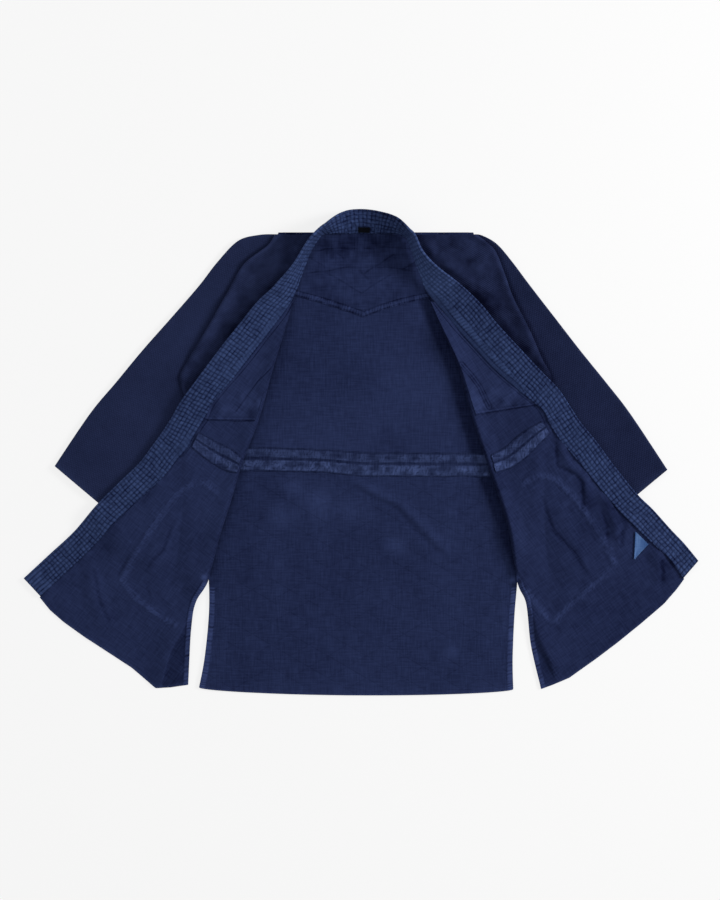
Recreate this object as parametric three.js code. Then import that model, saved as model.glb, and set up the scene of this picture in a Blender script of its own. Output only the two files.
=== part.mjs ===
// Kendo jacket laid open on a flat surface, seen from above.
// The back lies face down, both fronts are folded outwards from the neck to the side slits,
// and the quilted collar runs round all of it. Millimetres, X right, Y to the neck, Z up.
// The origin is on the surface, below the middle of the jacket.

import * as THREE from 'three';

// Cloth, mm
const clothWall = 2;
const patchWall = 1;
const collarWall = 5;
const gap = 0.3;
const puckerRise = 0.5;
const quiltRise = 0.8;
const diamondRise = 0.7;
const hemRise = 0.8;
const hemWidth = 8;

// Heights that one layer leaves for the next, mm. Loft is the air between two soft layers.
const loft = 0.8;
const backTop = clothWall;
const bareRest = backTop + diamondRise + gap;
const patchRest = backTop + gap + patchWall + puckerRise + gap;
const sleeveHeight = 6;
const pocketRoom = patchWall + 2 * loft;
const patchLift = loft;

// How cloth comes down from what it lies on, mm
const edgeHold = 12;
const lapRun = 45;
const settleRun = 50;
const foldRoll = 5;

// Stretches along the back where the folded edge of a front lies on a patch, mm from the middle
const shoulderY = 359;
const yokeLow = 212;
const tapeZone = { low: -80, high: 45, run: 30 };

const colours = {
  inside: 0x26325a,
  weave: 0x1d2747,
  collar: 0x33446f,
  tape: 0x2b3a63,
  tie: 0x4f6f9f,
  tag: 0x0d0e14,
};

// Rows of each turned-back front, from the neck to the hem:
// fold is the edge towards the middle of the back, seam the edge that the collar is sewn to
const frontRows = {
  left: [
    { fold: [-110, 251], seam: [-114, 250] },
    { fold: [-125, 201], seam: [-147, 200] },
    { fold: [-144, 139], seam: [-194, 140] },
    { fold: [-167, 56], seam: [-255, 57] },
    { fold: [-195, -18], seam: [-276, 26] },
    { fold: [-213, -79], seam: [-325, -41] },
    { fold: [-234, -145], seam: [-383, -95] },
    { fold: [-255, -208], seam: [-436, -150] },
    { fold: [-272, -248], seam: [-464, -177] },
    { fold: [-280, -294], seam: [-493, -206] },
    { fold: [-285, -384], seam: [-528, -238] },
  ],
  right: [
    { fold: [111, 254], seam: [116, 253] },
    { fold: [132, 205], seam: [155, 205] },
    { fold: [160, 139], seam: [216, 139] },
    { fold: [180, 65], seam: [295, 82] },
    { fold: [208, -20], seam: [309, 41] },
    { fold: [224, -66], seam: [358, -13] },
    { fold: [243, -129], seam: [409, -79] },
    { fold: [261, -210], seam: [454, -125] },
    { fold: [272, -250], seam: [480, -150] },
    { fold: [280, -318], seam: [508, -178] },
    { fold: [297, -391], seam: [531, -208] },
  ],
};
const liningStart = 0.035;
const liningEnd = 0.31;
const liningInset = 0.07;
const liningReach = 0.97;
const waistRow = 0.4;
const slitRow = 0.7;

// How far the hem of a front bows below the straight line from its slit to the collar
const hemBow = {
  left: [
    { across: 0, drop: 0 }, { across: 0.12, drop: 22 }, { across: 0.22, drop: 38 },
    { across: 0.38, drop: 28 }, { across: 0.54, drop: 26 }, { across: 0.7, drop: 24 },
    { across: 0.84, drop: 20 }, { across: 0.93, drop: 14 }, { across: 1, drop: 3 },
  ],
  right: [
    { across: 0, drop: 0 }, { across: 0.08, drop: 8 }, { across: 0.2, drop: 18 },
    { across: 0.38, drop: 21 }, { across: 0.54, drop: 22 }, { across: 0.7, drop: 21 },
    { across: 0.86, drop: 18 }, { across: 0.95, drop: 10 }, { across: 1, drop: 3 },
  ],
};

// Rows of each front's part that isn't turned back: from the fold to where it laps the sleeve
const shoulderRows = {
  left: [
    { fold: [-74, 356], lap: [-137, 356] },
    { fold: [-84, 330], lap: [-150, 338] },
    { fold: [-96, 297], lap: [-193, 307] },
    { fold: [-109, 251], lap: [-224, 256] },
    { fold: [-125, 201], lap: [-255, 201] },
    { fold: [-140, 152], lap: [-285, 152] },
    { fold: [-150, 116], lap: [-299, 119] },
    { fold: [-163, 69], lap: [-283, 69] },
    { fold: [-187, 3], lap: [-269, 3] },
    { fold: [-222, -104], lap: [-261, -104] },
    { fold: [-246, -183], lap: [-258, -184] },
  ],
  right: [
    { fold: [79, 356], lap: [186, 356] },
    { fold: [87, 327], lap: [216, 333] },
    { fold: [96, 297], lap: [234, 297] },
    { fold: [109, 256], lap: [251, 254] },
    { fold: [132, 205], lap: [276, 205] },
    { fold: [153, 152], lap: [298, 155] },
    { fold: [168, 116], lap: [314, 119] },
    { fold: [180, 69], lap: [300, 66] },
    { fold: [201, 3], lap: [276, 3] },
    { fold: [235, -104], lap: [266, -104] },
    { fold: [251, -180], lap: [263, -181] },
  ],
};

// Sleeve sections from the shoulder to the cuff: top is the outer edge, under the underarm edge
const sleeveRows = {
  left: [
    { top: [-137, 359], under: [-273, 66] },
    { top: [-168, 358], under: [-279, 36] },
    { top: [-203, 348], under: [-285, 8] },
    { top: [-237, 313], under: [-294, -20] },
    { top: [-268, 273], under: [-303, -48] },
    { top: [-314, 220], under: [-314, -76] },
    { top: [-360, 168], under: [-323, -101] },
    { top: [-403, 116], under: [-332, -124] },
    { top: [-447, 63], under: [-338, -142] },
    { top: [-505, -23], under: [-345, -158] },
  ],
  right: [
    { top: [187, 359], under: [310, 66] },
    { top: [200, 357], under: [309, 36] },
    { top: [224, 343], under: [311, 8] },
    { top: [249, 314], under: [315, -20] },
    { top: [279, 274], under: [322, -48] },
    { top: [320, 221], under: [328, -76] },
    { top: [361, 168], under: [333, -101] },
    { top: [403, 116], under: [337, -124] },
    { top: [444, 63], under: [340, -142] },
    { top: [505, -29], under: [345, -162] },
  ],
};

// The back's rows: both sides of the body down to the waist, then of the skirt down to the hem
const bodyRows = [
  { left: [-136, 359], right: [185, 359] },
  { left: [-181, 260], right: [227, 260] },
  { left: [-226, 163], right: [267, 163] },
  { left: [-272, 66], right: [308, 66] },
  { left: [-267, -17], right: [272, -17] },
];
const skirtRows = [
  { left: [-267, -19], right: [272, -19] },
  { left: [-262, -80], right: [268, -80] },
  { left: [-257, -145], right: [264, -145] },
  { left: [-251, -212], right: [258, -212] },
  { left: [-251, -270], right: [253, -270] },
  { left: [-258, -340], right: [250, -340] },
  { left: [-267, -388], right: [251, -391] },
];
const backHemDrop = 12;

// The yoke's lower edge, a shallow V that hangs from the shoulders
const yokeEdge = [
  { at: [-178, 262] }, { at: [-108, 257] }, { at: [-74, 248] }, { at: [-36, 236] },
  { at: [5, 222] }, { at: [39, 235] }, { at: [68, 244] }, { at: [109, 253] }, { at: [222, 262] },
];

// The collar band: seam is the sewn edge, free the outer edge, rise how high the free edge stands
const collarRows = {
  left: [
    { seam: [-528, -238], free: [-556, -208], rise: 0 },
    { seam: [-487, -199], free: [-514, -169], rise: 0 },
    { seam: [-446, -160], free: [-473, -131], rise: 1 },
    { seam: [-402, -114], free: [-434, -86], rise: 3 },
    { seam: [-368, -81], free: [-398, -50], rise: 3 },
    { seam: [-331, -47], free: [-364, -17], rise: 3 },
    { seam: [-304, -16], free: [-337, 19], rise: 4 },
    { seam: [-282, 8], free: [-325, 36], rise: 4 },
    { seam: [-270, 36], free: [-312, 56], rise: 4 },
    { seam: [-255, 57], free: [-299, 79], rise: 5 },
    { seam: [-243, 82], free: [-282, 103], rise: 6 },
    { seam: [-194, 140], free: [-234, 167], rise: 8 },
    { seam: [-164, 179], free: [-203, 206], rise: 10 },
    { seam: [-130, 222], free: [-172, 244], rise: 14 },
    { seam: [-118, 243], free: [-157, 258], rise: 18 },
    { seam: [-111, 256], free: [-145, 268], rise: 22 },
    { seam: [-105, 271], free: [-134, 280], rise: 26 },
    { seam: [-99, 290], free: [-120, 294], rise: 32 },
    { seam: [-91, 313], free: [-107, 310], rise: 35 },
    { seam: [-82, 334], free: [-93, 333], rise: 37 },
    { seam: [-71, 351], free: [-83, 348], rise: 37 },
  ],
  neck: [
    { seam: [-71, 351], free: [-83, 348], rise: 37 },
    { seam: [-66, 357], free: [-75, 357], rise: 36 },
    { seam: [-58, 360], free: [-66, 366], rise: 35 },
    { seam: [-48, 360], free: [-56, 374], rise: 33 },
    { seam: [-38, 360], free: [-44, 385], rise: 26 },
    { seam: [-23, 360], free: [-26, 396], rise: 14 },
    { seam: [0, 360], free: [0, 400], rise: 6 },
    { seam: [25, 360], free: [29, 396], rise: 12 },
    { seam: [40, 360], free: [49, 389], rise: 22 },
    { seam: [52, 360], free: [61, 382], rise: 28 },
    { seam: [62, 359], free: [70, 373], rise: 32 },
    { seam: [70, 355], free: [78, 364], rise: 35 },
    { seam: [78, 349], free: [88, 353], rise: 37 },
  ],
  right: [
    { seam: [78, 349], free: [88, 353], rise: 37 },
    { seam: [87, 325], free: [99, 329], rise: 37 },
    { seam: [95, 299], free: [117, 309], rise: 33 },
    { seam: [107, 267], free: [140, 291], rise: 26 },
    { seam: [124, 244], free: [162, 275], rise: 19 },
    { seam: [153, 207], free: [195, 245], rise: 13 },
    { seam: [182, 175], free: [224, 210], rise: 10 },
    { seam: [220, 134], free: [261, 170], rise: 8 },
    { seam: [262, 98], free: [293, 136], rise: 6 },
    { seam: [295, 72], free: [325, 103], rise: 5 },
    { seam: [309, 48], free: [346, 72], rise: 4 },
    { seam: [327, 20], free: [361, 49], rise: 4 },
    { seam: [356, -14], free: [388, 16], rise: 4 },
    { seam: [385, -51], free: [416, -22], rise: 3 },
    { seam: [423, -95], free: [454, -69], rise: 3 },
    { seam: [452, -124], free: [482, -96], rise: 1 },
    { seam: [486, -156], free: [512, -129], rise: 0 },
    { seam: [508, -177], free: [533, -151], rise: 0 },
    { seam: [531, -208], free: [556, -179], rise: 0 },
  ],
};
const collarQuiltRows = 6;
const collarQuiltPitch = 7.2;
const collarEdge = 0.01;
const collarJoint = 1;

// Waist tape: one strip across the back, and one on each front from the fold to the collar
const backTape = [
  { top: [-262, 9.5], bottom: [-262, -31] },
  { top: [-196, 8.5], bottom: [-196, -31.8] },
  { top: [-130, 7.3], bottom: [-130, -32.8] },
  { top: [-64, 4.8], bottom: [-64, -34.2] },
  { top: [2, 0.2], bottom: [2, -41] },
  { top: [69, -0.8], bottom: [69, -41.3] },
  { top: [135, -1.2], bottom: [135, -41.4] },
  { top: [201, -1.6], bottom: [201, -41.5] },
  { top: [267, -2], bottom: [267, -41.6] },
];
const backTapePuckers = 45;
const frontTapes = {
  left: [
    { top: [-197, -8], bottom: [-204, -34] },
    { top: [-214, 6], bottom: [-222, -33] },
    { top: [-240, 19], bottom: [-251, -19] },
    { top: [-266, 33], bottom: [-279, 8] },
  ],
  right: [
    { top: [214, -4], bottom: [222, -34] },
    { top: [238, 9], bottom: [250, -25] },
    { top: [259, 27], bottom: [276, -6] },
    { top: [279, 41], bottom: [294, 13] },
    { top: [297, 51], bottom: [311, 29] },
  ],
};
const frontTapePuckers = 14;

// Pocket patches on the outer face of each front skirt: side is the outline, inner the edge by the fold
const pocketRows = {
  left: [
    { side: [-261, -49], inner: [-239, -76] },
    { side: [-282, -53], inner: [-241, -96] },
    { side: [-307, -73], inner: [-244, -119] },
    { side: [-328, -101], inner: [-252, -150] },
    { side: [-348, -130], inner: [-264, -182] },
    { side: [-375, -173], inner: [-279, -216] },
    { side: [-386, -193], inner: [-292, -249] },
    { side: [-394, -211], inner: [-302, -284] },
  ],
  right: [
    { side: [289, -39], inner: [248, -71] },
    { side: [309, -41], inner: [252, -92] },
    { side: [333, -58], inner: [257, -116] },
    { side: [360, -86], inner: [264, -147] },
    { side: [383, -117], inner: [271, -178] },
    { side: [403, -150], inner: [281, -211] },
    { side: [414, -175], inner: [297, -248] },
    { side: [419, -188], inner: [314, -281] },
  ],
};

// Folds that stand up from a panel: points along the crest, half width and height
const frontFolds = {
  left: [
    { crest: [[-272, -251], [-297, -299], [-314, -328], [-330, -386]], width: 26, height: 7 },
    { crest: [[-310, -114], [-333, -163], [-357, -201]], width: 18, height: 1.6 },
    { crest: [[-448, -181], [-438, -244], [-418, -295]], width: 24, height: 3.5 },
  ],
  right: [
    { crest: [[280, -272], [292, -305], [318, -353]], width: 24, height: 6 },
    { crest: [[322, 28], [325, 8], [361, -43]], width: 16, height: 2.5 },
    { crest: [[382, -69], [399, -84], [412, -117], [416, -144]], width: 16, height: 2.5 },
    { crest: [[322, -82], [342, -130], [365, -178], [383, -201]], width: 18, height: 1.6 },
    { crest: [[483, -157], [493, -191], [487, -218]], width: 18, height: 3 },
  ],
};
const shoulderFolds = {
  left: [
    { crest: [[-147, 343], [-173, 317], [-196, 306]], width: 20, height: 4 },
    { crest: [[-214, 270], [-245, 215], [-280, 150]], width: 20, height: 4 },
    { crest: [[-135, 346], [-142, 300], [-150, 262]], width: 18, height: 3 },
  ],
  right: [
    { crest: [[109, 351], [118, 322]], width: 14, height: 3 },
    { crest: [[130, 312], [182, 272], [224, 250]], width: 22, height: 4 },
    { crest: [[230, 325], [245, 262], [285, 170]], width: 20, height: 3 },
  ],
};
const backFolds = [
  { crest: [[-4, -72], [28, -80], [62, -86], [90, -118], [120, -148]], width: 22, height: 1.5 },
  { crest: [[-235, -225], [-225, -290], [-233, -360]], width: 14, height: 1 },
  { crest: [[232, -215], [236, -290]], width: 14, height: 1 },
];

const blend = (a, b, t) => a + (b - a) * t;
const soft = (t) => THREE.MathUtils.smoothstep(t, 0, 1);

// A smooth curve through one named column of a table
function curve(rows, column) {
  const spline = new THREE.SplineCurve(rows.map((row) => new THREE.Vector2(...row[column])));
  return (t) => spline.getPoint(t);
}

// The same in straight stretches, for an edge with corners
function broken(rows, column) {
  const count = rows.length - 1;
  return (t) => {
    const k = Math.min(Math.floor(t * count), count - 1);
    const [start, end] = [rows[k], rows[k + 1]].map((row) => new THREE.Vector2(...row[column]));
    return start.lerp(end, t * count - k);
  };
}

// A value read from one named column, in straight steps between the rows
function stepped(rows, place, column, t) {
  const next = Math.max(1, rows.findIndex((row) => row[place] >= t));
  const [a, b] = [rows[next - 1], rows[next]];
  return blend(a[column], b[column], (t - a[place]) / (b[place] - a[place]));
}

function toSegment(x, y, [ax, ay], [bx, by]) {
  const along = ((x - ax) * (bx - ax) + (y - ay) * (by - ay)) / ((bx - ax) ** 2 + (by - ay) ** 2);
  const t = THREE.MathUtils.clamp(along, 0, 1);
  return { distance: Math.hypot(x - blend(ax, bx, t), y - blend(ay, by, t)), t };
}

// How far a point lies outside a closed outline, 0 inside it
function outside(outline, x, y) {
  let inside = false;
  let nearest = Infinity;
  outline.forEach((a, k) => {
    const b = outline[(k + 1) % outline.length];
    nearest = Math.min(nearest, toSegment(x, y, a, b).distance);
    if ((a[1] > y) !== (b[1] > y) && x < a[0] + ((y - a[1]) / (b[1] - a[1])) * (b[0] - a[0])) {
      inside = !inside;
    }
  });
  return inside ? 0 : nearest;
}

const fall = (distance, run) => 1 - soft((distance - edgeHold) / run);

// The height that a table of folds adds at a point, each fold fading out at its two ends
function foldHeight(folds, x, y) {
  let height = 0;
  for (const { crest, width, height: rise } of folds) {
    const steps = crest.length - 1;
    let here = 0;
    for (let k = 0; k < steps; k += 1) {
      const { distance, t } = toSegment(x, y, crest[k], crest[k + 1]);
      const place = (k + t) / steps;
      const ends = soft(Math.min(place, 1 - place) / 0.25 + 0.25);
      here = Math.max(here, rise * ends * (1 - soft(distance / width)));
    }
    height = Math.max(height, here);
  }
  return height;
}

const outlineOf = (rows, first, second) => [
  ...rows.map((row) => row[first]),
  ...rows.map((row) => row[second]).reverse(),
];
const outlines = {};
for (const side of ['left', 'right']) {
  outlines[side] = {
    sleeve: outlineOf(sleeveRows[side], 'top', 'under'),
    shoulder: outlineOf(shoulderRows[side], 'fold', 'lap'),
    pocket: outlineOf(pocketRows[side], 'side', 'inner'),
  };
}
const sideOf = (x) => (x < 0 ? 'left' : 'right');

// Where the folded edge of a front rests: on the yoke, the tape or the bare back
function restOnBack(y) {
  const offTape = Math.max(tapeZone.low - y, y - tapeZone.high, 0);
  const onPatch = y > yokeLow ? 1 : 1 - soft(offTape / tapeZone.run);
  return blend(bareRest, patchRest, onPatch);
}

// The underside of the part of a front that isn't turned back
function shoulderUnder(x, y) {
  const side = sideOf(x);
  const onSleeve = fall(outside(outlines[side].sleeve, x, y), lapRun);
  const rest = blend(patchRest, sleeveHeight + gap, onSleeve);
  return rest + foldHeight(shoulderFolds[side], x, y);
}

// The underside of whatever lies on top: on the shoulder part, on the sleeve, or on the floor
function topUnder(x, y) {
  const { sleeve, shoulder } = outlines[sideOf(x)];
  const overShoulder = (shoulderUnder(x, y) + clothWall + loft) * fall(outside(shoulder, x, y), settleRun);
  const overSleeve = (sleeveHeight + loft) * fall(outside(sleeve, x, y), settleRun);
  return Math.max(overShoulder, overSleeve);
}

// The underside of a turned-back front, which also leaves room for its pocket and has its own folds
function frontUnder(x, y) {
  const side = sideOf(x);
  const pocket = pocketRoom * fall(outside(outlines[side].pocket, x, y), lapRun);
  return topUnder(x, y) + pocket + foldHeight(frontFolds[side], x, y);
}
const frontOver = (x, y) => frontUnder(x, y) + clothWall;

// A mesh from points and faces, turned so that its faces point out
function closedMesh(name, colour, points, faces) {
  const at = (k) => new THREE.Vector3(...points[k]);
  let volume = 0;
  for (const [a, b, c] of faces) volume += at(a).dot(at(b).cross(at(c)));
  const turned = volume < 0 ? faces.map(([a, b, c]) => [a, c, b]) : faces;
  const geometry = new THREE.BufferGeometry();
  geometry.setAttribute('position', new THREE.Float32BufferAttribute(points.flat(), 3));
  geometry.setIndex(turned.flat());
  geometry.computeVertexNormals();
  const material = new THREE.MeshStandardMaterial({ color: colour, roughness: 0.95, metalness: 0 });
  const mesh = new THREE.Mesh(geometry, material);
  mesh.name = name;
  return mesh;
}

// A wall of cloth between an outer face and a back face, both given over the same grid.
// ruled: the back face runs straight from the first row to the last.
// flat: the back face is one flat sheet, drawn from its middle to the rim.
// quilt: each cell of the outer face is raised in its middle by this much.
function wall(name, colour, { across, along, face, back, ruled = false, flat = false, quilt = 0, turn }) {
  const points = [];
  const faces = [];
  const last = { i: across.length - 1, j: along.length - 1 };
  const grid = (at, needed) => across.map((u, i) => along.map((v, j) => {
    if (!needed(i, j)) return -1;
    return points.push(at(u, v, i, j)) - 1;
  }));
  const onEdge = (i, j) => i === 0 || j === 0 || i === last.i || j === last.j;
  const onRows = (i, j) => j === 0 || j === last.j;
  const outer = grid(face, () => true);
  const inner = grid(back, ruled ? onRows : (flat ? onEdge : () => true));
  const quad = (a, b, c, d, other) => {
    if (other) faces.push([a, b, d], [b, c, d]);
    else faces.push([a, b, c], [a, c, d]);
  };
  for (let i = 0; i < last.i; i += 1) {
    for (let j = 0; j < last.j; j += 1) {
      const corners = [outer[i][j], outer[i + 1][j], outer[i + 1][j + 1], outer[i][j + 1]];
      if (quilt) {
        const [a, b, c, d] = corners.map((k) => new THREE.Vector3(...points[k]));
        const normal = c.clone().sub(a).cross(d.clone().sub(b)).normalize();
        const middle = a.add(b).add(c).add(d).multiplyScalar(0.25);
        const behind = new THREE.Vector3(...back(across[i], along[j], i, j));
        const facing = Math.sign(normal.dot(middle.clone().sub(behind)));
        const peak = points.push(middle.addScaledVector(normal, facing * quilt).toArray()) - 1;
        corners.forEach((corner, k) => faces.push([corner, corners[(k + 1) % 4], peak]));
      } else {
        quad(...corners, turn && turn(i, j));
      }
      if (!ruled && !flat) {
        quad(inner[i][j], inner[i][j + 1], inner[i + 1][j + 1], inner[i + 1][j], !(turn && turn(i, j)));
      }
    }
  }
  for (let i = 0; i < last.i; i += 1) {
    quad(inner[i][0], inner[i + 1][0], outer[i + 1][0], outer[i][0]);
    quad(inner[i + 1][last.j], inner[i][last.j], outer[i][last.j], outer[i + 1][last.j]);
    if (ruled) quad(inner[i][0], inner[i][last.j], inner[i + 1][last.j], inner[i + 1][0]);
  }
  for (let j = 0; j < last.j; j += 1) {
    if (ruled) {
      faces.push([inner[0][0], outer[0][j], outer[0][j + 1]]);
      faces.push([inner[last.i][0], outer[last.i][j + 1], outer[last.i][j]]);
    } else {
      quad(inner[0][j + 1], inner[0][j], outer[0][j], outer[0][j + 1]);
      quad(inner[last.i][j], inner[last.i][j + 1], outer[last.i][j + 1], outer[last.i][j]);
    }
  }
  if (ruled) {
    faces.push([inner[0][0], outer[0][last.j], inner[0][last.j]]);
    faces.push([inner[last.i][0], inner[last.i][last.j], outer[last.i][last.j]]);
  }
  if (flat) {
    const rim = [
      ...across.map((u, i) => inner[i][0]),
      ...along.slice(1).map((v, j) => inner[last.i][j + 1]),
      ...across.slice(1).map((u, i) => inner[last.i - i - 1][last.j]),
      ...along.slice(1, -1).map((v, j) => inner[0][last.j - j - 1]),
    ];
    const corners = [inner[0][0], inner[last.i][0], inner[last.i][last.j], inner[0][last.j]];
    const middle = new THREE.Vector3();
    for (const k of corners) middle.add(new THREE.Vector3(...points[k]).divideScalar(corners.length));
    const centre = points.push(middle.toArray()) - 1;
    rim.forEach((k, n) => faces.push([rim[(n + 1) % rim.length], k, centre]));
  }
  return closedMesh(name, colour, points, faces);
}

function steps(count, from = 0, to = 1) {
  return Array.from({ length: count + 1 }, (_, k) => blend(from, to, k / count));
}

// A flat-backed panel of the back, between its two sides
function backPanel(name, rows, edge, columns, lengths, height, drop = 0) {
  const left = edge(rows, 'left');
  const right = edge(rows, 'right');
  const plan = (u, v) => {
    const point = left(v).lerp(right(v), u);
    point.y -= drop * v * Math.sin(Math.PI * u) ** 0.5;
    return point;
  };
  return wall(name, colours.inside, {
    across: columns,
    along: lengths,
    flat: true,
    turn: (i, j) => (i + j) % 2 === 1,
    back: (u, v) => [...plan(u, v), 0],
    face: (u, v, i, j) => {
      const { x, y } = plan(u, v);
      return [x, y, clothWall + height(x, y, i, j)];
    },
  });
}

function back() {
  const body = backPanel('back_body', bodyRows, broken, steps(10), steps(8), () => 0);
  // The skirt is quilted in flat diamonds: the grid's even points are stitched down
  const hem = hemWidth / (skirtRows[0].right[0] - skirtRows[0].left[0]);
  const columns = [0, ...steps(16, hem, 1 - hem), 1];
  const rows = steps(20);
  const tapeRows = 2;
  const slitTop = 10;
  const skirt = backPanel('back_skirt', skirtRows, curve, columns, rows, (x, y, i, j) => {
    if (i < 2 || i > columns.length - 3) return j > slitTop ? hemRise : 0;
    const stitched = (i + j) % 2 === 0 || j <= tapeRows || j === rows.length - 1;
    return (stitched ? 0 : diamondRise) + foldHeight(backFolds, x, y);
  }, backHemDrop);
  return [body, skirt];
}

// The yoke lies on the back from the shoulder line to its V edge, chevron quilted
function yoke() {
  const columns = steps(16);
  const rows = steps(5);
  const low = (u) => {
    const x = blend(yokeEdge[0].at[0], yokeEdge[yokeEdge.length - 1].at[0], u);
    const next = Math.max(1, yokeEdge.findIndex(({ at }) => at[0] >= x - 1e-6));
    const [a, b] = [yokeEdge[next - 1].at, yokeEdge[next].at];
    return [x, blend(a[1], b[1], (x - a[0]) / (b[0] - a[0]))];
  };
  const shoulderLeft = -128;
  const shoulderRight = 177;
  const plan = (u, v) => {
    const [x, y] = low(u);
    return [blend(blend(shoulderLeft, shoulderRight, u), x, v), blend(shoulderY - 1, y, v)];
  };
  const under = backTop + gap;
  return wall('back_yoke', colours.inside, {
    across: columns,
    along: rows,
    flat: true,
    turn: (i, j) => (i + j) % 2 === 1,
    back: (u, v) => [...plan(u, v), under],
    face: (u, v, i, j) => {
      const stitched = (i + j) % 2 === 1 || j === rows.length - 1;
      return [...plan(u, v), under + patchWall + (stitched ? 0 : puckerRise)];
    },
  });
}

// A strip whose two bands are gathered into short puckers
function puckeredTape(name, plan, under, puckers, flat) {
  const bandRows = [0, 0.2, 0.4, 0.7, 1];
  return wall(name, colours.tape, {
    across: steps(puckers * 2),
    along: bandRows,
    flat,
    back: (u, v) => [...plan(u, v), under(...plan(u, v))],
    face: (u, v, i, j) => {
      const raised = i % 2 && (j === 1 || j === 3) ? puckerRise : 0;
      return [...plan(u, v), under(...plan(u, v)) + patchWall + raised];
    },
  });
}

function waistTapes() {
  const between = (rows) => {
    const [upper, lower] = [curve(rows, 'top'), curve(rows, 'bottom')];
    return (u, v) => upper(u).lerp(lower(u), v).toArray();
  };
  const onBack = () => backTop + gap;
  const onFront = (x, y) => frontOver(x, y) + patchLift;
  const tapes = [puckeredTape('waist_tape_back', between(backTape), onBack, backTapePuckers, true)];
  for (const side of ['left', 'right']) {
    const plan = between(frontTapes[side]);
    tapes.push(puckeredTape(`waist_tape_${side}`, plan, onFront, frontTapePuckers, false));
  }
  return tapes;
}

// The collar's rows in one run, from the left hem round the neck to the right hem
const bandRows = [...collarRows.left, ...collarRows.neck.slice(1), ...collarRows.right.slice(1)];
const bandSeam = curve(bandRows, 'seam');
const seamLine = steps(600).map((t) => bandSeam(t));

// Where a row from the fold meets the collar's seam, less the seam's gap
function seamOnRow(start, aim) {
  const row = aim.clone().sub(start);
  let best = aim;
  let error = Infinity;
  for (let k = 1; k < seamLine.length; k += 1) {
    const [a, b] = [seamLine[k - 1], seamLine[k]];
    const step = b.clone().sub(a);
    const cross = row.cross(step);
    const offset = a.clone().sub(start);
    const reach = offset.cross(step) / cross;
    const place = offset.cross(row) / cross;
    if (place >= 0 && place <= 1 && reach > 0 && Math.abs(reach - 1) < error) {
      error = Math.abs(reach - 1);
      best = start.clone().addScaledVector(row, reach - (3 * gap) / row.length());
    }
  }
  return best;
}

// A turned-back front: u from the fold to the collar seam, v from the neck to the hem
function frontPlan(side) {
  const fold = curve(frontRows[side], 'fold');
  const seam = curve(frontRows[side], 'seam');
  return (u, v) => {
    const inner = fold(v);
    const point = inner.clone().lerp(seamOnRow(inner, seam(v)), u);
    const bow = soft((v - slitRow) / (1 - slitRow));
    point.y -= bow * stepped(hemBow[side], 'across', 'drop', u);
    return point.toArray();
  };
}

function frontPanel(name, side, columns, rows, diamonds) {
  const plan = frontPlan(side);
  const rolled = (v) => 1 - soft((v - slitRow + 0.06) / 0.06);
  const foldAcross = (v) => {
    const [a, b] = [plan(0, v), plan(1, v)];
    return Math.min(foldRoll / Math.hypot(a[0] - b[0], a[1] - b[1]), 0.4);
  };
  const across = (u, v) => (u === 0 ? 0 : blend(foldAcross(v), 1, (u - columns[1]) / (1 - columns[1])));
  const at = (u, v) => plan(across(u, v), v);
  return wall(name, colours.inside, {
    across: columns,
    along: rows,
    turn: (i, j) => (i + j) % 2 === 1,
    back: (u, v) => {
      const [x, y] = at(u, v);
      const open = frontUnder(x, y);
      return [x, y, u === 0 ? blend(open, restOnBack(y), rolled(v)) : open];
    },
    face: (u, v, i, j) => {
      const [x, y] = at(u, v);
      const edge = u === 0 ? -1 * rolled(v) : 0;
      const inside = i > 1 && i < columns.length - 1 && j > 0 && j < rows.length - 1;
      const quilted = diamonds && inside && (i + j) % 2 ? diamondRise : 0;
      return [x, y, frontOver(x, y) + edge + quilted];
    },
  });
}

function fronts() {
  const meshes = [];
  const seam = 0.0003;
  for (const side of ['left', 'right']) {
    const upper = steps(12, 0, waistRow - seam);
    meshes.push(frontPanel(`front_body_${side}`, side, steps(7), upper, false));
    const lower = steps(18, waistRow + seam, 1);
    meshes.push(frontPanel(`front_skirt_${side}`, side, steps(10), lower, true));
  }
  return meshes;
}

// The part of each front that stays face up between the neck, the shoulder and the underarm
function frontShoulders() {
  return ['left', 'right'].map((side) => {
    const fold = curve(shoulderRows[side], 'fold');
    const lap = curve(shoulderRows[side], 'lap');
    const inset = foldRoll + 1;
    const plan = (u, v) => {
      const inner = fold(v);
      const outer = lap(v);
      const width = inner.distanceTo(outer);
      return inner.lerp(outer, blend(Math.min(inset / width, 0.6), 1, u)).toArray();
    };
    return wall(`front_shoulder_${side}`, colours.weave, {
      across: steps(8),
      along: steps(16),
      back: (u, v) => [...plan(u, v), shoulderUnder(...plan(u, v))],
      face: (u, v) => [...plan(u, v), shoulderUnder(...plan(u, v)) + clothWall],
    });
  });
}

// The shoulder lining is sewn on the inner face of each front, from its neck end down to its lower seam
function linings() {
  return ['left', 'right'].map((side) => {
    const plan = frontPlan(side);
    const inset = (u, v) => plan(blend(liningInset, liningReach, u), v);
    return wall(`front_lining_${side}`, colours.inside, {
      across: steps(5),
      along: steps(7, liningStart, liningEnd),
      back: (u, v) => [...inset(u, v), frontOver(...inset(u, v)) + patchLift],
      face: (u, v) => [...inset(u, v), frontOver(...inset(u, v)) + patchLift + patchWall],
    });
  });
}

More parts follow.
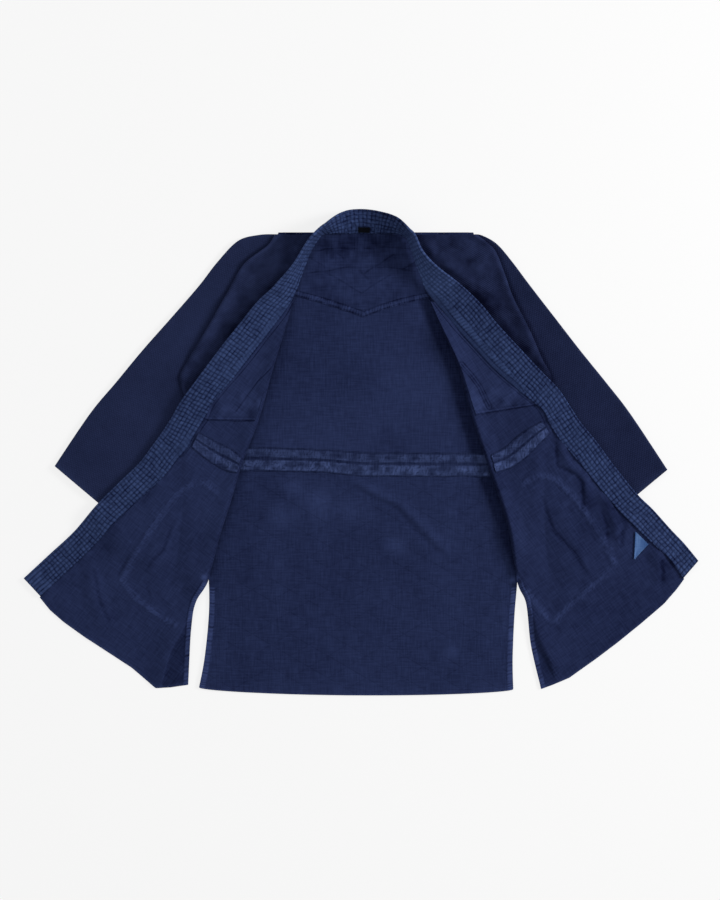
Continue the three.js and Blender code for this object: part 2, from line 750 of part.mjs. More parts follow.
// Each sleeve is a flattened tube, open at the armhole and at the cuff
function sleeves() {
  return ['left', 'right'].map((side) => {
    const top = curve(sleeveRows[side], 'top');
    const under = curve(sleeveRows[side], 'under');
    const flatSteps = 6;
    const sections = 10;
    const points = [];
    const ring = (t, inset) => {
      const a = top(t);
      const b = under(t);
      const unit = b.clone().sub(a).normalize();
      const radius = sleeveHeight / 2 - inset;
      const start = a.addScaledVector(unit, sleeveHeight / 2);
      const end = b.addScaledVector(unit, -sleeveHeight / 2);
      const loop = [];
      for (const [from, to, level] of [[start, end, inset], [end, start, sleeveHeight - inset]]) {
        for (const k of steps(flatSteps)) loop.push([...from.clone().lerp(to, k).toArray(), level]);
        const outward = from === start ? 1 : -1;
        for (const turn of [-0.25, 0.25]) {
          const swing = Math.cos(turn * Math.PI) * radius * outward;
          const place = to.clone().addScaledVector(unit, swing);
          loop.push([...place.toArray(), sleeveHeight / 2 + Math.sin(turn * Math.PI) * radius * outward]);
        }
      }
      return loop.map((point) => points.push(point) - 1);
    };
    const places = steps(sections);
    const outer = places.map((t) => ring(t, 0));
    const inner = places.map((t) => ring(t, clothWall));
    const count = outer[0].length;
    const faces = [];
    const quad = (a, b, c, d) => faces.push([a, b, c], [a, c, d]);
    for (let k = 0; k < count; k += 1) {
      const next = (k + 1) % count;
      for (let s = 0; s < sections; s += 1) {
        quad(outer[s][k], outer[s][next], outer[s + 1][next], outer[s + 1][k]);
        quad(inner[s][next], inner[s][k], inner[s + 1][k], inner[s + 1][next]);
      }
      quad(outer[0][next], outer[0][k], inner[0][k], inner[0][next]);
      quad(outer[sections][k], outer[sections][next], inner[sections][next], inner[sections][k]);
    }
    return closedMesh(`sleeve_${side}`, colours.weave, points, faces);
  });
}

// The collar band: a ruled strip that lies flat along the fronts and stands up at the neck.
// t runs along it, across from the seam to the free edge, level from -1 below to 1 above.
const bandFree = curve(bandRows, 'free');
function bandRise(t) {
  const count = bandRows.length - 1;
  const k = Math.min(Math.floor(t * count), count - 1);
  return blend(bandRows[k].rise, bandRows[k + 1].rise, soft(t * count - k));
}
function bandMiddle(t, across) {
  const { x, y } = bandSeam(t).lerp(bandFree(t), across);
  return new THREE.Vector3(x, y, topUnder(x, y) + collarWall / 2 + bandRise(t) * across);
}
function band(t, across, level) {
  const start = bandMiddle(t, 0);
  const width = bandMiddle(t, 1).sub(start);
  const span = 0.003;
  const ahead = bandMiddle(Math.min(t + span, 1), 0.5).sub(bandMiddle(Math.max(t - span, 0), 0.5));
  const normal = width.clone().cross(ahead).normalize();
  if (normal.z < 0) normal.negate();
  return start.addScaledVector(width, across).addScaledVector(normal, (level * collarWall) / 2).toArray();
}

// The band's three stretches, cut where it passes the neck's two sides
function collars() {
  const count = bandRows.length - 1;
  const leftEnd = (collarRows.left.length - 1) / count;
  const rightStart = 1 - (collarRows.right.length - 1) / count;
  const stretches = [['left', 0, leftEnd], ['neck', leftEnd, rightStart], ['right', rightStart, 1]];
  return stretches.map(([part, from, to]) => {
    const seam = steps(60, from, to).map((t) => bandSeam(t));
    const length = seam.slice(1).reduce((sum, point, k) => sum + point.distanceTo(seam[k]), 0);
    const inset = part === 'neck' ? (to - from) * (collarJoint / length) : 0;
    return wall(`collar_${part}`, colours.collar, {
      across: steps(Math.round(length / collarQuiltPitch), from + inset, to - inset),
      along: steps(collarQuiltRows, collarEdge, 1),
      ruled: true,
      quilt: quiltRise,
      face: (t, across) => band(t, across, 1),
      back: (t, across) => band(t, across, -1),
    });
  });
}

function pockets() {
  return ['left', 'right'].map((side) => {
    const outer = curve(pocketRows[side], 'side');
    const inner = curve(pocketRows[side], 'inner');
    const plan = (u, v) => outer(v).lerp(inner(v), u).toArray();
    return wall(`pocket_${side}`, colours.weave, {
      across: steps(6),
      along: steps(10),
      back: (u, v) => [...plan(u, v), topUnder(...plan(u, v))],
      face: (u, v) => [...plan(u, v), topUnder(...plan(u, v)) + patchWall],
    });
  });
}

// A short end of the chest tie that comes out from under the collar on the right front
function tieTab() {
  const [upper, lower, tip] = [[452, -131], [450, -177], [474, -152]];
  const plan = (u, v) => [0, 1].map((k) => blend(blend(upper[k], tip[k], u), lower[k], v));
  return wall('tie_tab', colours.tie, {
    across: steps(3),
    along: [0, 0.33, 0.66, 0.97],
    back: (u, v) => [...plan(u, v), frontOver(...plan(u, v)) + patchLift + diamondRise],
    face: (u, v) => [...plan(u, v), frontOver(...plan(u, v)) + patchLift + diamondRise + patchWall],
  });
}

// A plain woven tag on the collar's inner face, at the middle of the neck seam
function neckTag() {
  const tag = { middle: 5, half: 10, low: 0.04, high: 0.26, wall: 0.6 };
  const places = seamLine.map((point, k) => ({ x: point.x, t: k / (seamLine.length - 1) }));
  const nearer = (x) => (best, here) => (Math.abs(here.x - x) < Math.abs(best.x - x) ? here : best);
  const at = (x) => places.reduce(nearer(x)).t;
  const raise = (t, across, extra) => {
    const [x, y, z] = band(t, across, 1);
    return [x, y, z + quiltRise + gap + extra];
  };
  return wall('neck_tag', colours.tag, {
    across: steps(4, at(tag.middle - tag.half), at(tag.middle + tag.half)),
    along: steps(2, tag.low, tag.high),
    back: (t, across) => raise(t, across, 0),
    face: (t, across) => raise(t, across, tag.wall),
  });
}

const jacket = new THREE.Group();
jacket.name = 'kendo_jacket';
jacket.add(
  ...back(),
  yoke(),
  ...waistTapes(),
  ...frontShoulders(),
  ...fronts(),
  ...linings(),
  ...sleeves(),
  ...collars(),
  ...pockets(),
  tieTab(),
  neckTag(),
);
export default jacket;
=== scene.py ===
# %% [markdown]
# A kendo jacket, laid open. It is indigo cotton: a plain woven inner face, rice grain weave on the sleeves,
# a skirt quilted in diamonds, and a thick collar band that is stitched all over in small blocks.
# The jacket lies on its back with both fronts folded outwards like the covers of a book.
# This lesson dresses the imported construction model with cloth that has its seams, puckers and creases.

# %% Load the frame
import math

import bpy
import numpy as np
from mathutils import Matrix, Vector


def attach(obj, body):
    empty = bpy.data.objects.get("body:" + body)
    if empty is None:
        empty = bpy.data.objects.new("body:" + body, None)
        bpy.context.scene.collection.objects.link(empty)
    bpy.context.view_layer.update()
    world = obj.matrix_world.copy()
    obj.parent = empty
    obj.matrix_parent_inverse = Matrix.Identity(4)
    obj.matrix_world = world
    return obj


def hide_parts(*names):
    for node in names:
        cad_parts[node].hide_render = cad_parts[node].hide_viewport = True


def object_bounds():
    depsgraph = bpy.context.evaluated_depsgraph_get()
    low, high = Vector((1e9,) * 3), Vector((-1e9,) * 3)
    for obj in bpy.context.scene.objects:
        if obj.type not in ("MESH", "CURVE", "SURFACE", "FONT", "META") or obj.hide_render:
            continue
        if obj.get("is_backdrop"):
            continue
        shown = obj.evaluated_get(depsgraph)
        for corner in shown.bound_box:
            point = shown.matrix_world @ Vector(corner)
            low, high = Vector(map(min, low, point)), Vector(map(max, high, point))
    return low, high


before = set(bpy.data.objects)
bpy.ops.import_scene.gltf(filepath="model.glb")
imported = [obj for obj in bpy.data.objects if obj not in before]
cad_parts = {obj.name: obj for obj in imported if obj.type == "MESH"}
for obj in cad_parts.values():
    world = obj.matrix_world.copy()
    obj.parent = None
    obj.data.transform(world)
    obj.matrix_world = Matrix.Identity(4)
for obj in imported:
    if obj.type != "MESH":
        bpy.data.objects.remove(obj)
cad_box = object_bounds()
print("pieces in the construction model:", len(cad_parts))

# %% [markdown]
# The camera looks straight down, as a flat lay is shot. A long lens keeps the jacket free of perspective,
# so the distance is large and the field of view is just the frame that we want on the table.

# %% Camera
MM = 0.001
CAMERA_HEIGHT = 3.5
FRAME_LENGTH = 1.485
FRAME_CENTRE = (-0.00165, 0.0033)
SENSOR = 36.0

bpy.ops.object.camera_add(location=(*FRAME_CENTRE, CAMERA_HEIGHT), rotation=(0, 0, 0))
camera = bpy.context.object
camera.name = "overhead_camera"
camera.data.sensor_width = SENSOR
camera.data.lens = SENSOR * CAMERA_HEIGHT / FRAME_LENGTH
bpy.context.scene.camera = camera
bpy.context.scene.view_settings.view_transform = "Standard"
print("lens in mm:", round(camera.data.lens, 1))

# %% [markdown]
# The studio is a pale table under one big soft light from the right, with a paler fill from all round.
# The table gives off a little light of its own, as a light table does, so that it stays almost white
# and the jacket's shadow on it stays faint. Table and lights aren't part of the jacket.

# %% Table and lights
TABLE_SIZE = 12.0
bpy.ops.object.select_all(action="DESELECT")
bpy.ops.mesh.primitive_plane_add(size=TABLE_SIZE, location=(0, 0, 0))
table_top = bpy.context.object
table_top.name = "table_top"
paper = bpy.data.materials.new("pale_paper")
paper.use_nodes = True
paper_shader = paper.node_tree.nodes["Principled BSDF"]
paper_shader.inputs["Base Color"].default_value = (0.22, 0.22, 0.22, 1)
paper_shader.inputs["Roughness"].default_value = 0.9
paper_shader.inputs["Specular IOR Level"].default_value = 0.0
paper_shader.inputs["Emission Color"].default_value = (1, 1, 1, 1)
paper_shader.inputs["Emission Strength"].default_value = 0.77
table_top.data.materials.append(paper)
table_top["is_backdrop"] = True


def soft_light(name, place, size, watts):
    """One square soft box that looks at the middle of the table."""
    bpy.ops.object.light_add(type="AREA", location=place)
    light = bpy.context.object
    light.name = name
    light.data.size = size
    light.data.energy = watts
    towards = -light.location
    light.rotation_euler = towards.to_track_quat("-Z", "Y").to_euler()


soft_light("main_soft_box", (2.9, 0.7, 1.5), 0.9, 72)
soft_light("fill_soft_box", (-1.6, 1.4, 3.2), 2.4, 20)
world = bpy.data.worlds.new("studio_air")
world.use_nodes = True
world.node_tree.nodes["Background"].inputs["Color"].default_value = (1, 1, 1, 1)
world.node_tree.nodes["Background"].inputs["Strength"].default_value = 0.40
bpy.context.scene.world = world

# %% [markdown]
# A dressmaker works from a few measured lines. These tables hold the construction model's lines, in
# millimetres on the table: X to the right, Y towards the neck. Each table has a row for each measured
# place, and its columns are named. Everything finer is worked out from them. Only the sleeves' first rows
# reach further in under the fronts than the model's, so that no two of their rows cross.

# %% The jacket's measured lines
SIDES = ("left", "right")


def table(columns, *rows):
    """A table with named columns: a dict with the list of each column's values."""
    return {name: [row[k] for row in rows] for k, name in enumerate(columns.split())}


FRONT = {
    "left": table(
        "fold seam",
        ((-110, 251), (-114, 250)), ((-125, 201), (-147, 200)), ((-144, 139), (-194, 140)),
        ((-167, 56), (-255, 57)), ((-195, -18), (-276, 26)), ((-213, -79), (-325, -41)),
        ((-234, -145), (-383, -95)), ((-251, -211), (-436, -150)), ((-272, -248), (-464, -177)),
        ((-280, -294), (-493, -206)), ((-285, -384), (-528, -238)),
    ),
    "right": table(
        "fold seam",
        ((111, 254), (116, 253)), ((132, 205), (155, 205)), ((160, 139), (216, 139)),
        ((180, 65), (295, 82)), ((208, -20), (309, 41)), ((224, -66), (358, -13)),
        ((243, -129), (409, -79)), ((257, -213), (454, -125)), ((272, -250), (480, -150)),
        ((280, -318), (508, -178)), ((297, -391), (531, -208)),
    ),
}
HEM_BOW = {
    "left": table(
        "across drop",
        (0, 0), (0.12, 22), (0.22, 38), (0.38, 28), (0.54, 26), (0.7, 24), (0.84, 20), (0.93, 14), (1, 3),
    ),
    "right": table(
        "across drop",
        (0, 0), (0.08, 8), (0.2, 18), (0.38, 21), (0.54, 22), (0.7, 21), (0.86, 18), (0.95, 10), (1, 3),
    ),
}
SHOULDER = {
    "left": table(
        "fold lap",
        ((-74, 358), (-142, 358)), ((-84, 330), (-155, 339)), ((-96, 297), (-194, 308)),
        ((-109, 251), (-224, 256)), ((-125, 201), (-255, 201)), ((-140, 152), (-285, 152)),
        ((-150, 116), (-299, 119)), ((-163, 69), (-283, 69)), ((-187, 3), (-269, 3)),
        ((-222, -104), (-261, -104)), ((-246, -183), (-258, -184)),
    ),
    "right": table(
        "fold lap",
        ((79, 358), (191, 358)), ((87, 327), (219, 335)), ((96, 297), (235, 298)),
        ((109, 256), (251, 254)), ((132, 205), (276, 205)), ((153, 152), (298, 155)),
        ((168, 116), (314, 119)), ((180, 69), (300, 66)), ((201, 3), (276, 3)),
        ((235, -104), (266, -104)), ((251, -180), (263, -181)),
    ),
}
SLEEVE = {
    "left": table(
        "top under",
        ((-137, 359), (-258, 66)), ((-168, 358), (-274, 36)), ((-203, 348), (-285, 8)),
        ((-237, 313), (-294, -20)), ((-268, 273), (-303, -48)), ((-314, 220), (-314, -76)),
        ((-360, 168), (-323, -101)), ((-403, 116), (-332, -124)), ((-447, 63), (-338, -142)),
        ((-505, -23), (-345, -158)),
    ),
    "right": table(
        "top under",
        ((187, 359), (284, 66)), ((200, 357), (296, 36)), ((224, 343), (306, 8)),
        ((249, 314), (315, -20)), ((279, 274), (322, -48)), ((320, 221), (328, -76)),
        ((361, 168), (333, -101)), ((403, 116), (337, -124)), ((444, 63), (340, -142)),
        ((505, -29), (345, -162)),
    ),
}
BODY = table(
    "left right",
    ((-136, 359), (185, 359)), ((-181, 260), (227, 260)), ((-226, 163), (267, 163)),
    ((-272, 66), (308, 66)), ((-267, -17), (272, -17)),
)
SKIRT = table(
    "left right",
    ((-267, -19), (272, -19)), ((-262, -80), (268, -80)), ((-257, -145), (264, -145)),
    ((-251, -212), (258, -212)), ((-251, -270), (253, -270)), ((-258, -340), (250, -340)),
    ((-267, -388), (251, -391)),
)
YOKE_EDGE = table(
    "x y",
    (-178, 262), (-108, 257), (-74, 248), (-36, 236), (5, 222), (39, 235), (68, 244), (109, 253), (222, 262),
)
COLLAR = table(
    "seam free rise",
    ((-528, -238), (-556, -208), 0), ((-487, -199), (-514, -169), 0), ((-446, -160), (-473, -131), 1),
    ((-402, -114), (-434, -86), 3), ((-368, -81), (-398, -50), 3), ((-331, -47), (-364, -17), 3),
    ((-304, -16), (-337, 19), 4), ((-282, 8), (-325, 36), 4), ((-270, 36), (-312, 56), 4),
    ((-255, 57), (-299, 79), 5), ((-243, 82), (-282, 103), 6), ((-194, 140), (-234, 167), 8),
    ((-164, 179), (-203, 206), 10), ((-130, 222), (-172, 244), 14), ((-118, 243), (-157, 258), 18),
    ((-111, 256), (-145, 268), 22), ((-105, 271), (-134, 280), 26), ((-99, 290), (-120, 294), 32),
    ((-91, 313), (-107, 310), 35), ((-82, 334), (-93, 333), 37), ((-71, 351), (-83, 348), 37),
    ((-66, 357), (-75, 357), 36), ((-58, 360), (-66, 366), 35), ((-48, 360), (-56, 374), 33),
    ((-38, 360), (-44, 385), 26), ((-23, 360), (-26, 396), 14), ((0, 360), (0, 400), 6),
    ((25, 360), (29, 396), 12), ((40, 360), (49, 389), 22), ((52, 360), (61, 382), 28),
    ((62, 359), (70, 373), 32), ((70, 355), (78, 364), 35), ((78, 349), (88, 353), 37),
    ((87, 325), (99, 329), 37), ((95, 299), (117, 309), 33), ((107, 267), (140, 291), 26),
    ((124, 244), (162, 275), 19), ((153, 207), (195, 245), 13), ((182, 175), (224, 210), 10),
    ((220, 134), (261, 170), 8), ((262, 98), (293, 136), 6), ((295, 72), (325, 103), 5),
    ((309, 48), (346, 72), 4), ((327, 20), (361, 49), 4), ((356, -14), (388, 16), 4),
    ((385, -51), (416, -22), 3), ((423, -95), (454, -69), 3), ((452, -124), (482, -96), 1),
    ((486, -156), (512, -129), 0), ((508, -177), (533, -151), 0), ((531, -208), (556, -179), 0),
)
BACK_TAPE = table(
    "x top bottom",
    (-262, 9.5, -31), (-196, 8.5, -31.8), (-130, 7.3, -32.8), (-64, 4.8, -34.2), (2, 0.2, -41),
    (69, -0.8, -41.3), (135, -1.2, -41.4), (201, -1.6, -41.5), (267, -2, -41.6),
)
FRONT_TAPE = {
    "left": table(
        "top bottom",
        ((-197, -8), (-204, -35)), ((-214, 6), (-222, -31)), ((-240, 19), (-249, -16)),
        ((-266, 33), (-278, 7)),
    ),
    "right": table(
        "top bottom",
        ((214, -4), (222, -34)), ((238, 9), (250, -25)), ((259, 27), (276, -6)), ((279, 41), (294, 13)),
        ((297, 51), (311, 29)),
    ),
}
POCKET = {
    "left": table(
        "side inner",
        ((-261, -49), (-239, -76)), ((-282, -53), (-241, -96)), ((-307, -73), (-244, -119)),
        ((-328, -101), (-252, -150)), ((-348, -130), (-264, -182)), ((-375, -173), (-279, -216)),
        ((-386, -193), (-292, -249)), ((-394, -211), (-302, -284)),
    ),
    "right": table(
        "side inner",
        ((289, -39), (248, -71)), ((309, -41), (252, -92)), ((333, -58), (257, -116)),
        ((360, -86), (264, -147)), ((383, -117), (271, -178)), ((403, -150), (281, -211)),
        ((414, -175), (297, -248)), ((419, -188), (314, -281)),
    ),
}
print("rows of the collar:", len(COLLAR["rise"]), "rows of each front:", len(FRONT["left"]["fold"]))

# %% [markdown]
# Creases and folds are the jacket's handwriting. Each is a line that is placed one by one, with its own width
# and height: a ridge stands up, a trough has a negative height. No two are alike, as in real cloth.

# %% Folds and creases


def fold(width, height, *crest, other=None):
    """A soft ridge or trough along a crest line, in millimetres. Its right flank may have another width."""
    return {"width": width, "height": height, "crest": crest, "other": other or width}


FRONT_FOLDS = {
    "left": [
        fold(5, 5, (-256, -206), (-272, -251), (-297, -299), (-314, -328), (-332, -392), other=34),
        fold(18, 1.6, (-310, -114), (-333, -163), (-357, -201)),
        fold(24, 3.5, (-448, -181), (-438, -244), (-418, -295)),
    ],
    "right": [
        fold(34, 5, (262, -208), (280, -262), (292, -305), (312, -345), (322, -375), other=5),
        fold(13, 3.4, (326, 30), (331, 8), (340, -18), (368, -40), (376, -84)),
        fold(13, 3.6, (388, -66), (405, -84), (418, -117), (424, -150)),
        fold(18, 1.6, (322, -82), (342, -130), (365, -178), (383, -201)),
        fold(18, 3, (483, -157), (493, -191), (487, -218)),
    ],
}
SHOULDER_FOLDS = {
    "left": [
        fold(20, 4, (-147, 343), (-173, 317), (-196, 306)),
        fold(20, 4, (-214, 270), (-245, 215), (-280, 150)),
        fold(18, 3, (-135, 346), (-142, 300), (-150, 262)),
    ],
    "right": [
        fold(14, 3, (109, 351), (118, 322)),
        fold(22, 4, (130, 312), (182, 272), (224, 250)),
        fold(20, 3, (230, 325), (245, 262), (285, 170)),
    ],
}
BACK_CREASES = [
    fold(6, -1.2, (-18, -53), (20, -76), (58, -92), (81, -120), (112, -152), (140, -172)),
    fold(18, 2.0, (-14, -46), (27, -69), (66, -86), (92, -114), (124, -148), (150, -168), other=9),
    fold(12, 1.0, (-235, -225), (-225, -290), (-233, -360)),
    fold(12, 0.9, (232, -215), (236, -290)),
]
FINE_CREASES = [
    fold(5, -0.7, (-381, -167), (-401, -205)), fold(4, -0.6, (-354, -221), (-347, -238)),
    fold(6, -0.8, (432, -130), (429, -160)), fold(6, -0.9, (-173, 304), (-139, 309)),
    fold(5, -0.8, (-201, 335), (-194, 317)), fold(7, -1.0, (110, 317), (162, 285), (182, 276), (219, 252)),
    fold(5, -0.7, (-441, -190), (-430, -246), (-409, -293)),
    fold(5, -0.8, (395, -94), (404, -120), (407, -146)),
    fold(5, -0.9, (310, 24), (321, 13), (323, -23), (352, -36), (364, -50), (366, -84), (360, -112)),
    fold(6, -0.9, (299, -76), (316, -129), (352, -165), (366, -191), (379, -209)),
    fold(5, -0.8, (-310, -118), (-326, -162), (-346, -182), (-354, -198)),
    fold(6, -0.9, (495, -172), (498, -196), (497, -218)), fold(5, -0.8, (418, -147), (440, -120)),
]
# SHADED holds patches of painted shade along creases; each height is how much darker they are painted, not
# millimetres.
SHADED = [
    fold(26, -0.2, (400, -76), (424, -100), (440, -122)), fold(16, -0.2, (352, -40), (372, -66), (380, -96)),
    fold(18, -0.16, (-398, -120), (-414, -140), (-424, -168)), fold(20, -0.2, (500, -176), (503, -214)),
    fold(12, -0.16, (-336, -52), (-350, -70), (-362, -90)),
]
placed = (*FRONT_FOLDS.values(), *SHOULDER_FOLDS.values(), BACK_CREASES, FINE_CREASES)
print("placed folds:", sum(map(len, placed)))

# %% [markdown]
# Small helpers for lines and distances. They take whole arrays of points at once, because a sheet of cloth
# has tens of thousands of them.

# %% Curves, distances and soft noise


def blend(a, b, t):
    return a + (b - a) * t


def soft(t):
    """From 0 to 1 with no kink at either end."""
    t = np.clip(t, 0, 1)
    return t * t * (3 - 2 * t)


def curve(points, t):
    """The smooth curve through the points, at each place t from 0 to 1."""
    p = np.asarray(points, float)
    last = len(p) - 1
    place = np.clip(t, 0, 1) * last
    k = np.minimum(place.astype(int), last - 1)
    w = (place - k)[..., None]
    a, b, c, d = p[np.maximum(k - 1, 0)], p[k], p[k + 1], p[np.minimum(k + 2, last)]
    start, end = (c - a) / 2, (d - b) / 2
    return (2 * b - 2 * c + start + end) * w**3 + (3 * c - 3 * b - 2 * start - end) * w**2 + start * w + b


def broken(points, t):
    """The same line in straight stretches, for an edge with corners."""
    p = np.asarray(points, float)
    place = np.clip(t, 0, 1) * (len(p) - 1)
    k = np.minimum(place.astype(int), len(p) - 2)
    return blend(p[k], p[k + 1], (place - k)[..., None])


def to_line(x, y, points):
    """Distance from each point to a line of straight stretches, how far along it that is, and its whole
    length. The distance is negative to the right of the line as one walks along it."""
    nearest = np.full(np.shape(x), np.inf)
    along = np.zeros(np.shape(x))
    left = np.ones(np.shape(x))
    run = 0.0
    for (ax, ay), (bx, by) in zip(points[:-1], points[1:]):
        length = math.hypot(bx - ax, by - ay)
        t = np.clip(((x - ax) * (bx - ax) + (y - ay) * (by - ay)) / length**2, 0, 1)
        distance = np.hypot(x - blend(ax, bx, t), y - blend(ay, by, t))
        closer = distance < nearest
        nearest = np.where(closer, distance, nearest)
        along = np.where(closer, run + t * length, along)
        turn = (bx - ax) * (y - ay) - (by - ay) * (x - ax)
        left = np.where(closer, np.where(turn < 0, -1, 1), left)
        run += length
    return nearest * left, along, run


def outside(outline, x, y):
    """How far each point lies outside a closed outline, and 0 inside it."""
    inside = np.zeros(np.shape(x), bool)
    for (ax, ay), (bx, by) in zip(outline, [*outline[1:], outline[0]]):
        if ay != by:
            crosses = ((ay > y) != (by > y)) & (x < ax + (y - ay) / (by - ay) * (bx - ax))
            inside ^= crosses
    return np.where(inside, 0, np.abs(to_line(x, y, [*outline, outline[0]])[0]))


def noise(x, y, size, seed):
    """Soft random height between -1 and 1 with bumps about one size apart, the same on each run."""
    px, py = x / size, y / size
    ix, iy = np.floor(px), np.floor(py)

    def corner(dx, dy):
        spin = np.sin((ix + dx) * 127.1 + (iy + dy) * 311.7 + seed * 74.7) * 43758.5453
        return 2 * (spin - np.floor(spin)) - 1

    low = blend(corner(0, 0), corner(1, 0), soft(px - ix))
    high = blend(corner(0, 1), corner(1, 1), soft(px - ix))
    return blend(low, high, soft(py - iy))


def groove(distance, width):
    """1 on a line and 0 a width away from it."""
    return np.exp(-((distance / width) ** 2) * 2)


def folds_at(folds, x, y, strongest=True):
    """Height that a list of folds gives each point. Each fold fades out towards its two ends."""
    total = np.zeros(np.shape(x))
    for f in folds:
        distance, along, length = to_line(x, y, f["crest"])
        place = along / length
        ends = soft(np.minimum(place, 1 - place) / 0.25 + 0.25)
        reach = np.where(distance > 0, f["width"], f["other"])
        here = f["height"] * ends * (1 - soft(np.abs(distance) / reach))
        total = np.maximum(total, here) if strongest else total + here
    return total


# %% [markdown]
# Cloth lies on cloth here, up to five layers deep. The height of each layer follows from what is below it,
# in the same way as in the construction model, so no layer cuts through another. One slow unevenness of the
# whole pile is added to every layer alike.

# %% Heights of the layers
CLOTH_WALL = 2.0
PATCH_WALL = 1.0
COLLAR_WALL = 5.0
GAP = 0.3
BARE_REST = 3.0
PATCH_REST = 4.1
SLEEVE_HEIGHT = 6.0
LOFT = 0.8
POCKET_ROOM = 2.6
FOLD_SPRING = {"left": 4.0, "right": 8.0}
EDGE_HOLD = 12
SHEET_WALL = 1.6
LAP_RUN = 45
SETTLE_RUN = 50


def outline_of(rows, first, second):
    return [*rows[first], *reversed(rows[second])]


OUTLINE = {
    side: {
        "sleeve": outline_of(SLEEVE[side], "top", "under"),
        "shoulder": outline_of(SHOULDER[side], "fold", "lap"),
        "pocket": outline_of(POCKET[side], "side", "inner"),
    }
    for side in SIDES
}


def fall(distance, run):
    return 1 - soft((distance - EDGE_HOLD) / run)


def by_side(x, y, height):
    """A height that comes from the left half's lines left of the middle, and else from the right's."""
    return np.where(x < 0, height("left", x, y), height("right", x, y))


def settle(x, y):
    """The slow unevenness of cloth on a table, from 0 to about 1.5 mm."""
    return 0.55 + 0.45 * noise(x, y, 88, 3) + 0.28 * noise(x, y, 41, 8) + 0.1 * noise(x, y, 17, 5)


def rest_on_back(y):
    off_tape = np.maximum(np.maximum(-80 - y, y - 45), 0)
    on_patch = np.where(y > 212, 1, 1 - soft(off_tape / 30))
    return blend(BARE_REST, PATCH_REST, on_patch)


def shoulder_under(side, x, y):
    on_sleeve = fall(outside(OUTLINE[side]["sleeve"], x, y), LAP_RUN)
    return blend(PATCH_REST, SLEEVE_HEIGHT + GAP, on_sleeve) + folds_at(SHOULDER_FOLDS[side], x, y)


def top_under(side, x, y):
    lines = OUTLINE[side]
    on_shoulder = shoulder_under(side, x, y) + CLOTH_WALL + LOFT
    on_shoulder = on_shoulder * fall(outside(lines["shoulder"], x, y), SETTLE_RUN)
    on_sleeve = (SLEEVE_HEIGHT + LOFT) * fall(outside(lines["sleeve"], x, y), SETTLE_RUN)
    return np.maximum(on_shoulder, on_sleeve)


def front_over(side, x, y):
    pocket = POCKET_ROOM * fall(outside(OUTLINE[side]["pocket"], x, y), LAP_RUN)
    from_fold = np.abs(to_line(x, y, FRONT[side]["fold"])[0])
    above_slit = (1 - soft((-135 - y) / 65)) * soft((245 - y) / 60)
    spring = FOLD_SPRING[side] * (1 - soft(from_fold / 30)) * above_slit
    return top_under(side, x, y) + pocket + spring + folds_at(FRONT_FOLDS[side], x, y) + CLOTH_WALL


spot = np.array([0.0]), np.array([0.0])
print("the pile is uneven by about", round(float(settle(*spot)[0]), 2), "mm in the middle")

# %% [markdown]
# Every sheet of cloth starts as a grid primitive. Its points are laid on the sheet's own curves, and a
# Solidify modifier gives it the cloth's thickness below that face. Two facts travel with the points: a UV
# map in metres that runs with the threads, and an attribute that says how far the dye is rubbed off there,
# with the painted shade and painted light added in.

# %% Laying a sheet


def deselect():
    bpy.ops.object.select_all(action="DESELECT")


def turned(x, y, degrees):
    """Plan coordinates along and across threads that are turned by an angle."""
    a = math.radians(degrees)
    return x * math.cos(a) + y * math.sin(a), y * math.cos(a) - x * math.sin(a)


def lay(name, place, wear_and_painted_light, material, thickness=0.0, threads=None, grain=0.0, tube=False):
    """A sheet from its points, an array of rows by columns in millimetres. It faces up, a tube outwards."""
    rows, columns = place.shape[:2]
    if threads is None:
        threads = np.stack(turned(place[..., 0], place[..., 1], grain), axis=-1)
    side, end = place[:-1, 1:] - place[:-1, :-1], place[1:, :-1] - place[:-1, :-1]
    above_middle = (place[..., 2] - place[..., 2].mean(axis=1, keepdims=True))[:-1, :-1]
    if (np.cross(side, end)[..., 2] * (above_middle if tube else 1)).sum() < 0:
        place, wear_and_painted_light, threads = place[:, ::-1], wear_and_painted_light[:, ::-1], threads[:, ::-1]
    deselect()
    bpy.ops.mesh.primitive_grid_add(x_subdivisions=columns - 1, y_subdivisions=rows - 1, size=1)
    piece = bpy.context.object
    piece.name = name
    mesh = piece.data
    mesh.vertices.foreach_set("co", (place * MM).astype(np.float32).ravel())
    corner = np.zeros(len(mesh.loops), np.int32)
    mesh.loops.foreach_get("vertex_index", corner)
    uv = (threads.reshape(-1, 2) * MM)[corner]
    mesh.uv_layers.active.data.foreach_set("uv", uv.astype(np.float32).ravel())
    worn_and_painted_light = mesh.attributes.new("wear_and_painted_light", "FLOAT", "POINT")
    worn_and_painted_light.data.foreach_set("value", np.broadcast_to(wear_and_painted_light, (rows, columns)).astype(np.float32).ravel())
    mesh.materials.append(material)
    mesh.update()
    if tube:
        bpy.ops.object.mode_set(mode="EDIT")
        bpy.ops.mesh.select_all(action="SELECT")
        bpy.ops.mesh.remove_doubles(threshold=1e-5)
        bpy.ops.object.mode_set(mode="OBJECT")
    if thickness:
        wall = piece.modifiers.new("cloth_wall", "SOLIDIFY")
        wall.thickness = thickness * MM
        wall.offset = -1
        bpy.ops.object.modifier_apply(modifier=wall.name)
    bpy.ops.object.shade_smooth_by_angle(angle=math.radians(48))
    print(f"{name}: {rows} by {columns} points, {len(piece.data.polygons)} faces")
    return piece


def places(length, spacing, fine=(0, 0.5, 1.2, 2.2)):
    """Places from 0 to 1 along a length, about one spacing apart and closer at both ends."""
    inner = np.linspace(fine[-1], length - fine[-1], max(2, int(length / spacing)) + 1)
    return np.concatenate([fine[:-1], inner, length - np.array(fine[-2::-1])]) / length


def rolled_edge(distance, radius):
    """How far a soft edge drops at this distance from it: a quarter of a round."""
    rest = np.clip(radius - distance, 0, radius)
    return radius - np.sqrt(radius**2 - rest**2)
